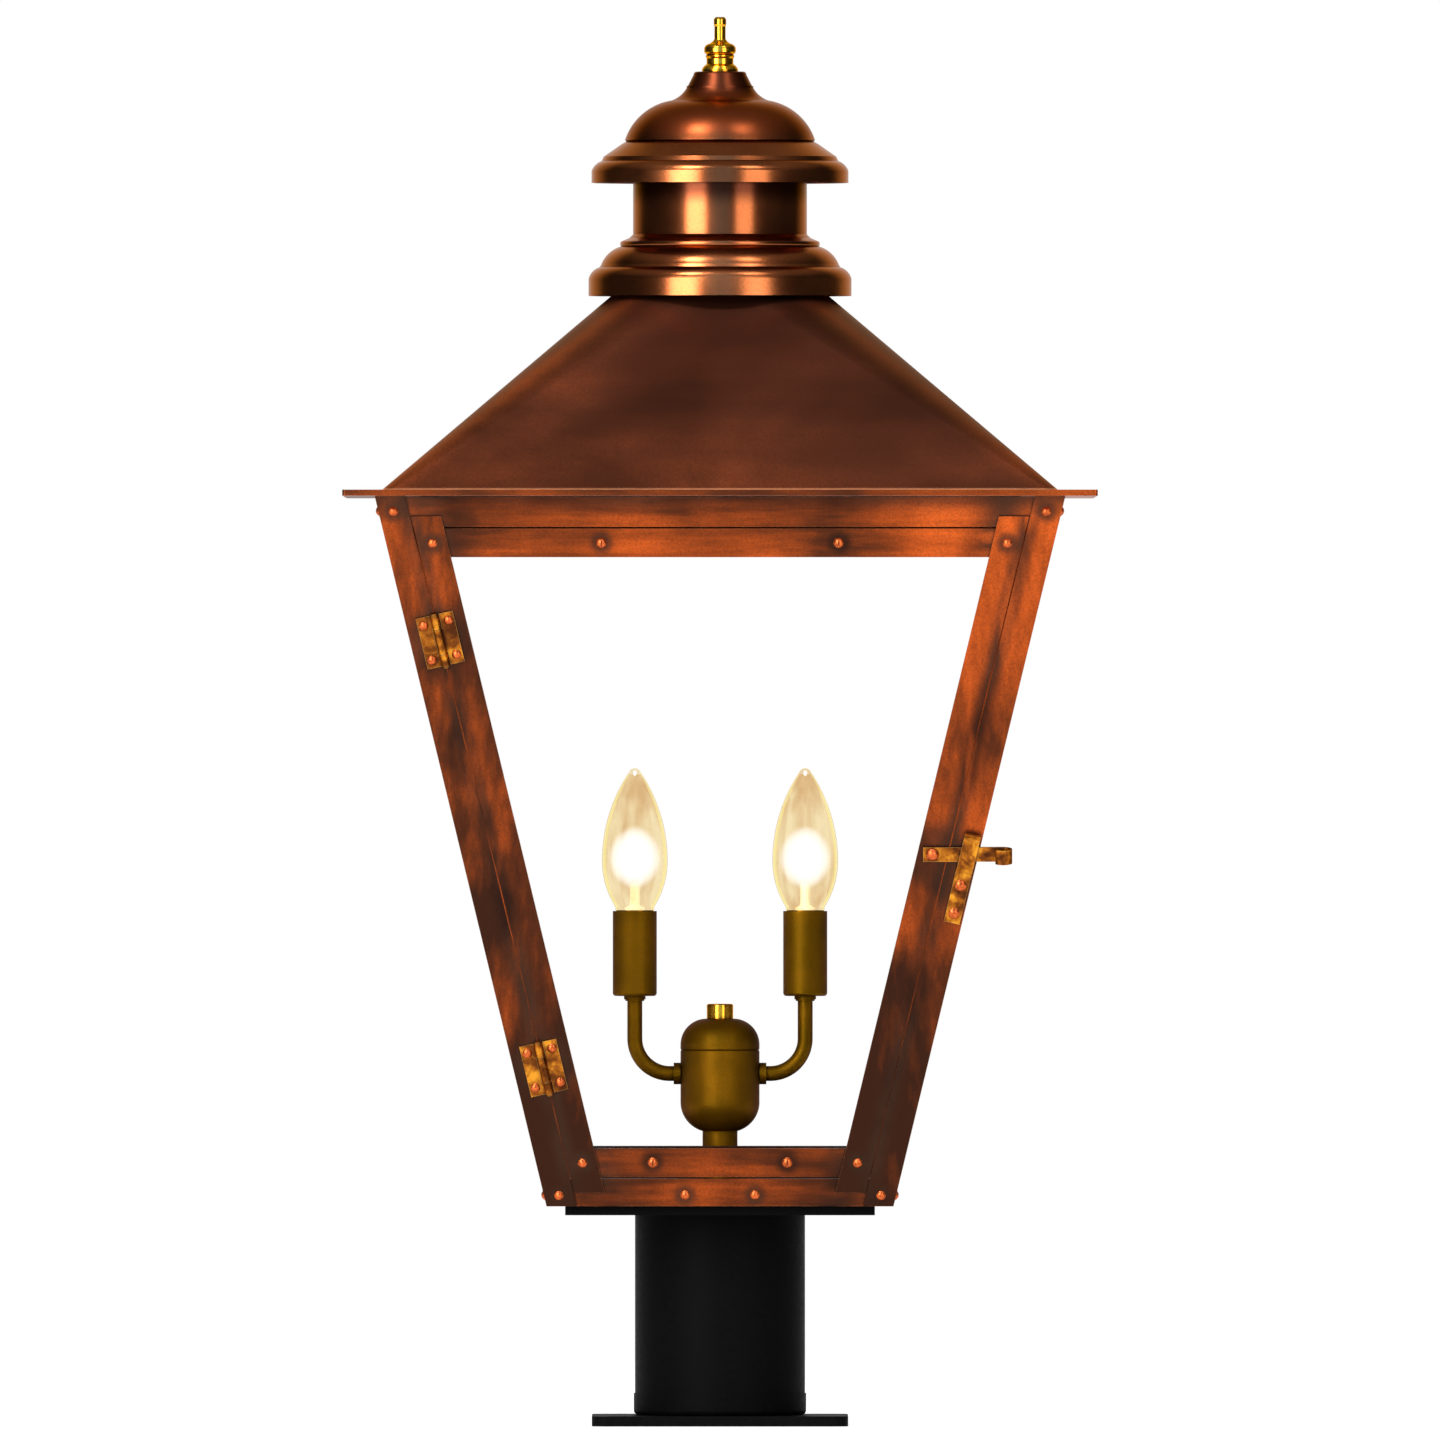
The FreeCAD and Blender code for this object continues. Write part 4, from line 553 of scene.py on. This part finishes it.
def olive_bronze():
    """The light cluster: satin lacquered bronze, olive with a warmer cast in places."""
    material, shader = new_shader("olive_bronze")
    place = shader.place()
    clouds = shader.noise(place, 38.0, 3.0, 0.5)
    speckle = shader.noise(place, 1200.0, 3.0, 0.65)
    colour = shader.ramp(
        clouds,
        (0.35, tone(90, 62, 4)), (0.5, tone(102, 69, 6)), (0.65, tone(116, 76, 8)),
    )
    colour = shader.speckled(colour, speckle, 0.25, tone(70, 42, 6))
    # painted shade in corners and under overlaps
    colour = shader.with_painted_shade(colour, 3 * MM, 0.3, 0.95, tone(54, 36, 2))
    shader.finish(shader.principled(
        base_color=colour, metallic=0.7, roughness=shader.smooth(speckle, 0.3, 0.7, 0.46, 0.54),
        specular_tint=tone(170, 124, 24), normal=shader.bump(speckle, 0.08, 0.06 * MM),
    ))
    return material


# ---------------------------------------------------------------- coat, steel and fittings

def black_coat():
    """Satin black powder coat with a very fine orange-peel texture."""
    material, shader = new_shader("black_coat")
    peel = shader.noise(shader.place(), 420.0, 3.0, 0.5)
    colour = shader.ramp(peel, (0.3, tone(5, 5, 6)), (0.7, tone(10, 9, 9)))
    shader.finish(shader.principled(
        base_color=colour, metallic=0.0, specular_ior_level=0.03,
        roughness=shader.smooth(peel, 0.3, 0.7, 0.5, 0.6),
        normal=shader.bump(peel, 0.12, 0.12 * MM),
    ))
    return material


def zinc_steel():
    """Plain plated hardware, faintly blotched."""
    material, shader = new_shader("zinc_steel")
    blotches = shader.noise(shader.place(), 160.0, 4.0, 0.6)
    colour = shader.ramp(blotches, (0.35, tone(150, 148, 140)), (0.65, tone(196, 194, 186)))
    shader.finish(shader.principled(
        base_color=colour, metallic=1.0, roughness=shader.smooth(blotches, 0.3, 0.7, 0.28, 0.44),
        normal=shader.bump(blotches, 0.08, 0.06 * MM),
    ))
    return material


def phenolic():
    """The lamp sockets' dark moulded body."""
    material, shader = new_shader("phenolic")
    grain = shader.noise(shader.place(), 500.0, 3.0, 0.6)
    colour = shader.ramp(grain, (0.35, tone(34, 30, 27)), (0.65, tone(48, 43, 38)))
    shader.finish(shader.principled(
        base_color=colour, roughness=shader.smooth(grain, 0.3, 0.7, 0.4, 0.55),
        normal=shader.bump(grain, 0.1, 0.08 * MM),
    ))
    return material


def lamp_ceramic():
    """The white mount inside each bulb, glowing: painted light that stands in for its filament's
    light on it.
    """
    material, shader = new_shader("lamp_ceramic")
    grain = shader.noise(shader.place(), 700.0, 2.0, 0.5)
    colour = shader.ramp(grain, (0.3, tone(236, 228, 206)), (0.7, tone(250, 246, 232)))
    # painted light: the mount glows as if lit by the filament
    shader.finish(shader.principled(
        base_color=colour, roughness=0.35, emission_color=tone(255, 244, 214),
        emission_strength=0.8,
    ))
    return material


def hot_wire():
    """The glowing filament."""
    material, shader = new_shader("hot_wire")
    grain = shader.noise(shader.place(), 2500.0, 1.0, 0.5)
    colour = shader.ramp(grain, (0.3, tone(255, 226, 160)), (0.7, tone(255, 250, 236)))
    shader.finish(shader.principled(
        base_color=colour, metallic=0.0, roughness=0.5, emission_color=colour,
        emission_strength=6.0,
    ))
    return material


# ---------------------------------------------------------------- glass

def clear_pane():
    """Thin window glass: what is behind it shows through, with a faint sheen at a slant."""
    material, shader = new_shader("clear_pane")
    ripple = shader.noise(shader.place(), 14.0, 2.0, 0.4)
    sheen = shader.smooth(shader.facing(), 0.55, 1.0, 0.0, 0.14)
    inputs = {"Color": WHITE, "Roughness": 0.08, "Normal": shader.bump(ripple, 0.02, 0.4 * MM)}
    gloss = shader.node("ShaderNodeBsdfGlossy", inputs).outputs[0]
    clear = shader.see_through(WHITE)
    seen = shader.mixed_shader(sheen, clear, gloss)
    lamp_ray = shader.path("Is Shadow Ray", "Is Diffuse Ray")
    shader.finish(shader.mixed_shader(lamp_ray, seen, clear))
    return material


def glow_round_filament(shader, facing, height, high):
    """1 in the middle of the bulb round its filament, fading up, down and towards the outline: where
    the glow is painted.
    """
    square_on = shader.math("SUBTRACT", 1.0, facing)
    out = shader.math("SUBTRACT", 1.0, shader.product(square_on, square_on))
    out = shader.math("DIVIDE", out, GLOW_WIDTH)
    up = shader.math("SUBTRACT", height, high - FILAMENT_DEPTH)
    up = shader.math("DIVIDE", up, GLOW_HEIGHT)
    away = shader.math("ADD", out, shader.product(up, up))
    return shader.smooth(away, 0.1, 1.7, 1.0, 0.0)


def glint_at_tip(shader, place, axis, high):
    """A painted glint: 1 in a small spot at the bulb's tip, round as seen from the front."""
    flat = shader.stretched(place, (1.0, 0.0, 0.7))
    from_tip = shader.distance(flat, (axis, 0.0, 0.7 * (high - GLINT_DEPTH)))
    return shader.smooth(from_tip, 0.5 * MM, 1.2 * MM, 1.0, 0.0)


def lit_glass(name, axis, high):
    """A lit bulb's glass with painted light: a cream glow, a white hot glow round the filament, and a
    bright painted highlight line inside its outline.

    The axis is the bulb's x, and high the height of its tip.
    """
    material, shader = new_shader(name)
    place = shader.place()
    height = shader.axes(place)[2]
    facing = shader.facing()
    streaks = shader.noise(shader.stretched(place, (160.0, 160.0, 14.0)), 1.0, 3.0, 0.5)
    paler_tip = shader.smooth(height, high - 30 * MM, high - 8 * MM, 0.04, -0.06)
    tint = shader.ramp(
        shader.math("ADD", streaks, paler_tip),
        (0.35, tone(243, 228, 204)), (0.6, tone(253, 248, 234)),
    )
    clear = shader.see_through(tint)
    # painted glow: a faint cream glow over all the glass
    cream_glow = shader.emission(tone(255, 240, 208), 0.9)
    # painted glow round the filament, and painted glint at the tip
    white_glow = shader.emission(tone(255, 252, 246), 1.15)
    # painted highlight: a gold line inside the outline
    gold_highlight = shader.emission(tone(255, 242, 172), 1.0)
    # painted shade: a darker tan at the outline
    edge = shader.see_through(tone(216, 182, 152))

    glow_and_glint = shader.largest(
        glow_round_filament(shader, facing, height, high), glint_at_tip(shader, place, axis, high),
    )
    highlight_line = shader.product(
        shader.smooth(facing, 0.58, 0.66), shader.smooth(facing, 0.76, 0.84, 1.0, 0.0), 0.75,
    )
    rim = shader.smooth(facing, 0.82, 0.95)
    glass = shader.mixed_shader(0.1, clear, cream_glow)
    glass = shader.mixed_shader(glow_and_glint, glass, white_glow)
    glass = shader.mixed_shader(highlight_line, glass, gold_highlight)
    glass = shader.mixed_shader(rim, glass, edge)
    lamp_ray = shader.path("Is Shadow Ray", "Is Diffuse Ray")
    shader.finish(shader.mixed_shader(lamp_ray, glass, clear))
    return material


# ---------------------------------------------------------------- dressing the frame's nodes

def dress_copper():
    post_copper = frame_copper(
        "post_copper", grain=(110.0, 110.0, 9.0), seam=15.3, spread=8.0, foot=-0.2, top=0.02,
    )
    rail_copper = frame_copper(
        "rail_copper", grain=(12.0, 12.0, 120.0), seam=28.0, spread=22.0, foot=0.07, top=0.095,
    )
    inner_copper = frame_copper("inner_copper", grain=(40.0, 40.0, 40.0), seam=30.0, spread=12.0)
    eave_copper = frame_copper(
        "eave_copper", grain=(12.0, 12.0, 120.0), seam=-90.0, spread=9.0, top=0.05, eave_shadow_level=1.0,
    )
    dress(
        post_copper, "corner_post_front_left", "corner_post_front_right", "corner_post_back_left",
        "corner_post_back_right", "door_stile_left", "door_stile_right",
    )
    dress(rail_copper, "top_rails", "bottom_rails", "door_rail_top", "door_rail_bottom")
    dress(inner_copper, "floor_pan", "glass_stops", "door_stop")
    dress(eave_copper, "eave_flange")
    dress(roof_copper(), "roof_shell")
    dress(spun_copper("spun_copper"), "vent_cap", "vent_skirt")
    dress(spun_copper("drum_copper", cap_shadow=0.95), "vent_drum")
    dress(rivet_copper(), "frame_rivets", "door_rivets", "door_screws", "latch_rivet")


def dress_brass():
    dress(
        aged_brass(), "hinge_leaves_frame", "hinge_leaves_door", "hinge_pins", "latch_bar",
        "latch_keeper",
    )
    dress(polished_brass(), "finial", "cluster_nut", "bulb_base_left", "bulb_base_right")
    dress(
        olive_bronze(), "cluster_body", "cluster_cap", "cluster_arms", "arm_collars", "socket_cups",
        "candle_sleeves", "stem_sleeve",
    )


def dress_others(steel):
    dress(black_coat(), "base_flange", "foot_ring", "pedestal_tube", "base_top_plate")
    dress(
        steel, "base_bolts", "base_nuts", "stem_locknut", "stop_screws", "tie_rod", "tie_rod_nut",
        "stem_pipe", "vent_bridge", "cap_spacer",
    )
    dress(phenolic(), "lamp_sockets")
    dress(lamp_ceramic(), "bulb_mount_left", "bulb_mount_right")
    dress(clear_pane(), "glass_pane_back", "glass_pane_left", "glass_pane_right", "door_glass")
    for side in SIDES:
        name = f"bulb_glass_{side}"
        dress(lit_glass(f"lit_glass_{side}", centre(name).x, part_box(name)[1].z), name)


# ---------------------------------------------------------------- wires in the bulbs

def wire(name, paths, radius, material, body):
    """Round wires along lists of points, as one mesh."""
    curve = bpy.data.curves.new(name, "CURVE")
    curve.dimensions = "3D"
    curve.bevel_depth = radius
    curve.bevel_resolution = 3
    curve.use_fill_caps = True
    for points in paths:
        spline = curve.splines.new("POLY")
        spline.points.add(len(points) - 1)
        for target, point in zip(spline.points, points):
            target.co = (*point, 1.0)
    shape = bpy.data.objects.new(f"{name}_curve", curve)
    mesh = bpy.data.meshes.new_from_object(shape)
    bpy.data.objects.remove(shape)
    mesh.name = name
    mesh.materials.clear()
    mesh.materials.append(material)
    mesh.polygons.foreach_set("use_smooth", [True] * len(mesh.polygons))
    piece = bpy.data.objects.new(name, mesh)
    add_to_scene(piece)
    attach(piece, body)


def coil(start, end, turns, radius, steps=10):
    """A helix round the line from start to end."""
    axis = (end - start).normalized()
    side = axis.orthogonal().normalized()
    other = axis.cross(side)
    points = []
    for step in range(turns * steps + 1):
        share = step / (turns * steps)
        angle = 2 * math.pi * turns * share
        around = side * math.cos(angle) + other * math.sin(angle)
        points.append(start.lerp(end, share) + around * radius)
    return points


def make_filament(side, steel, glow):
    """Supports that fan out from the mount, and the coiled filament that they carry."""
    low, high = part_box(f"bulb_glass_{side}")
    axis_x = (low.x + high.x) / 2
    foot_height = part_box(f"bulb_mount_{side}")[1].z - FOOT_DEPTH
    foot_middle = Vector((axis_x, 0, foot_height))
    ring_middle = Vector((axis_x, 0, low.z + RING_SHARE * (high.z - low.z)))
    supports = []
    for index in range(SUPPORT_COUNT):
        angle = math.radians(SUPPORT_START + SUPPORT_STEP * index)
        out = Vector((math.cos(angle), math.sin(angle), 0))
        foot = foot_middle + out * FOOT_RADIUS
        knee = foot_middle + UP * KNEE_RISE + out * FOOT_RADIUS * KNEE_SPREAD
        supports.append([foot, knee, ring_middle + out * RING_RADIUS])
    body = f"bulb_{side}"
    wire(f"bulb_supports_{side}", supports, SUPPORT_WIRE, steel, body)
    tips = [support[-1] for support in supports]
    spans = [coil(first, second, COIL_TURNS, COIL_RADIUS) for first, second in zip(tips, tips[1:])]
    filament = [point for span in spans for point in span]
    wire(f"bulb_filament_{side}", [filament], COIL_WIRE, glow, body)


# ---------------------------------------------------------------- studio

def studio_world():
    """White behind everything. Metal sees a bright ceiling and back, and a dim room in front."""
    world = bpy.data.worlds.new("studio")
    world.use_nodes = True
    bpy.context.scene.world = world
    shader = Shader(world.node_tree)
    direction = shader.node("ShaderNodeTexCoord").outputs["Generated"]
    sideways, backward, upward = shader.axes(direction)
    ceiling = shader.smooth(upward, 0.4, 0.85, 0.0, 0.24)
    back = shader.smooth(backward, 0.5, 0.95)
    room = shader.mixed(1.0, shader.largest(ceiling, back, 0.03), (0.0, 0.008, 0.02, 1.0), "ADD")
    between_lamps = shader.product(
        shader.smooth(shader.math("ABSOLUTE", sideways), 0.16, 0.3, 1.0, 0.0),
        shader.smooth(backward, -0.5, -0.3, 1.0, 0.0),
    )
    reflected = shader.mixed(between_lamps, room, (0.26, 0.55, 1.0, 1.0))
    level = shader.mixed(shader.path("Is Glossy Ray"), (0.3, 0.3, 0.3, 1.0), reflected)
    level = shader.mixed(shader.path("Is Camera Ray", "Is Transmission Ray"), level, WHITE)
    background = shader.node("ShaderNodeBackground", {"Color": level, "Strength": 1.0})
    shader.finish(background.outputs[0], "ShaderNodeOutputWorld")


def strip_lamp(name, azimuth, elevation, width, height, power):
    """A soft box on a stand in front of the lantern, turned to its middle."""
    light = bpy.data.lights.new(name, "AREA")
    light.shape = "RECTANGLE"
    light.size, light.size_y = width, height
    light.energy = power
    lamp = bpy.data.objects.new(name, light)
    add_to_scene(lamp)
    around, up = math.radians(azimuth), math.radians(elevation)
    away = Vector((math.sin(around) * math.cos(up), -math.cos(around) * math.cos(up), math.sin(up)))
    lamp.location = UP * PICTURE_MIDDLE + away * LAMP_DISTANCE
    lamp.rotation_mode = "QUATERNION"
    lamp.rotation_quaternion = away.to_track_quat("Z", "Y")
    lamp.visible_camera = False


def studio_lamps():
    strip_lamp("strip_left", -32, 16, 1.15, 2.1, 75)
    strip_lamp("strip_right", 32, 16, 1.0, 2.1, 24)
    strip_lamp("upper_left", -38, 60, 0.5, 0.5, 20)
    strip_lamp("upper_right", 40, 60, 0.5, 0.5, 6.5)


def studio_floor():
    """A pale floor that shows white, apart from the lantern's shadow."""
    material, shader = new_shader("studio_floor")
    lit = shader.node("ShaderNodeBsdfDiffuse", {"Color": (0.55, 0.55, 0.55, 1.0)}).outputs[0]
    seen = shader.path("Is Camera Ray", "Is Glossy Ray", "Is Transmission Ray")
    glow = shader.emission(WHITE, shader.product(seen, 0.8))
    shader.finish(shader.added_shader(lit, glow))
    mesh = bpy.data.meshes.new("floor")
    level = CAD_LOW.z - FLOOR_GAP
    signs = ((-1, -1), (1, -1), (1, 1), (-1, 1))
    corners = [(x * FLOOR_REACH, y * FLOOR_REACH, level) for x, y in signs]
    mesh.from_pydata(corners, [], [(0, 1, 2, 3)])
    mesh.materials.append(material)
    floor = bpy.data.objects.new("floor", mesh)
    add_to_scene(floor)


def studio_camera():
    camera = bpy.data.cameras.new("camera")
    camera.sensor_width = SENSOR_WIDTH
    camera.lens = CAMERA_DISTANCE * SENSOR_WIDTH / PICTURE_WIDTH
    camera.clip_end = CAMERA_REACH
    holder = bpy.data.objects.new("camera", camera)
    holder.location = (0, -CAMERA_DISTANCE, PICTURE_MIDDLE)
    holder.rotation_euler = (math.pi / 2, 0, 0)
    add_to_scene(holder)
    bpy.context.scene.camera = holder


bpy.context.scene.view_settings.view_transform = "Standard"
studio_camera()
studio_world()
studio_lamps()
studio_floor()

steel, glow = zinc_steel(), hot_wire()
dress_copper()
dress_brass()
dress_others(steel)
for side in SIDES:
    make_filament(side, steel, glow)

bpy.context.view_layer.update()
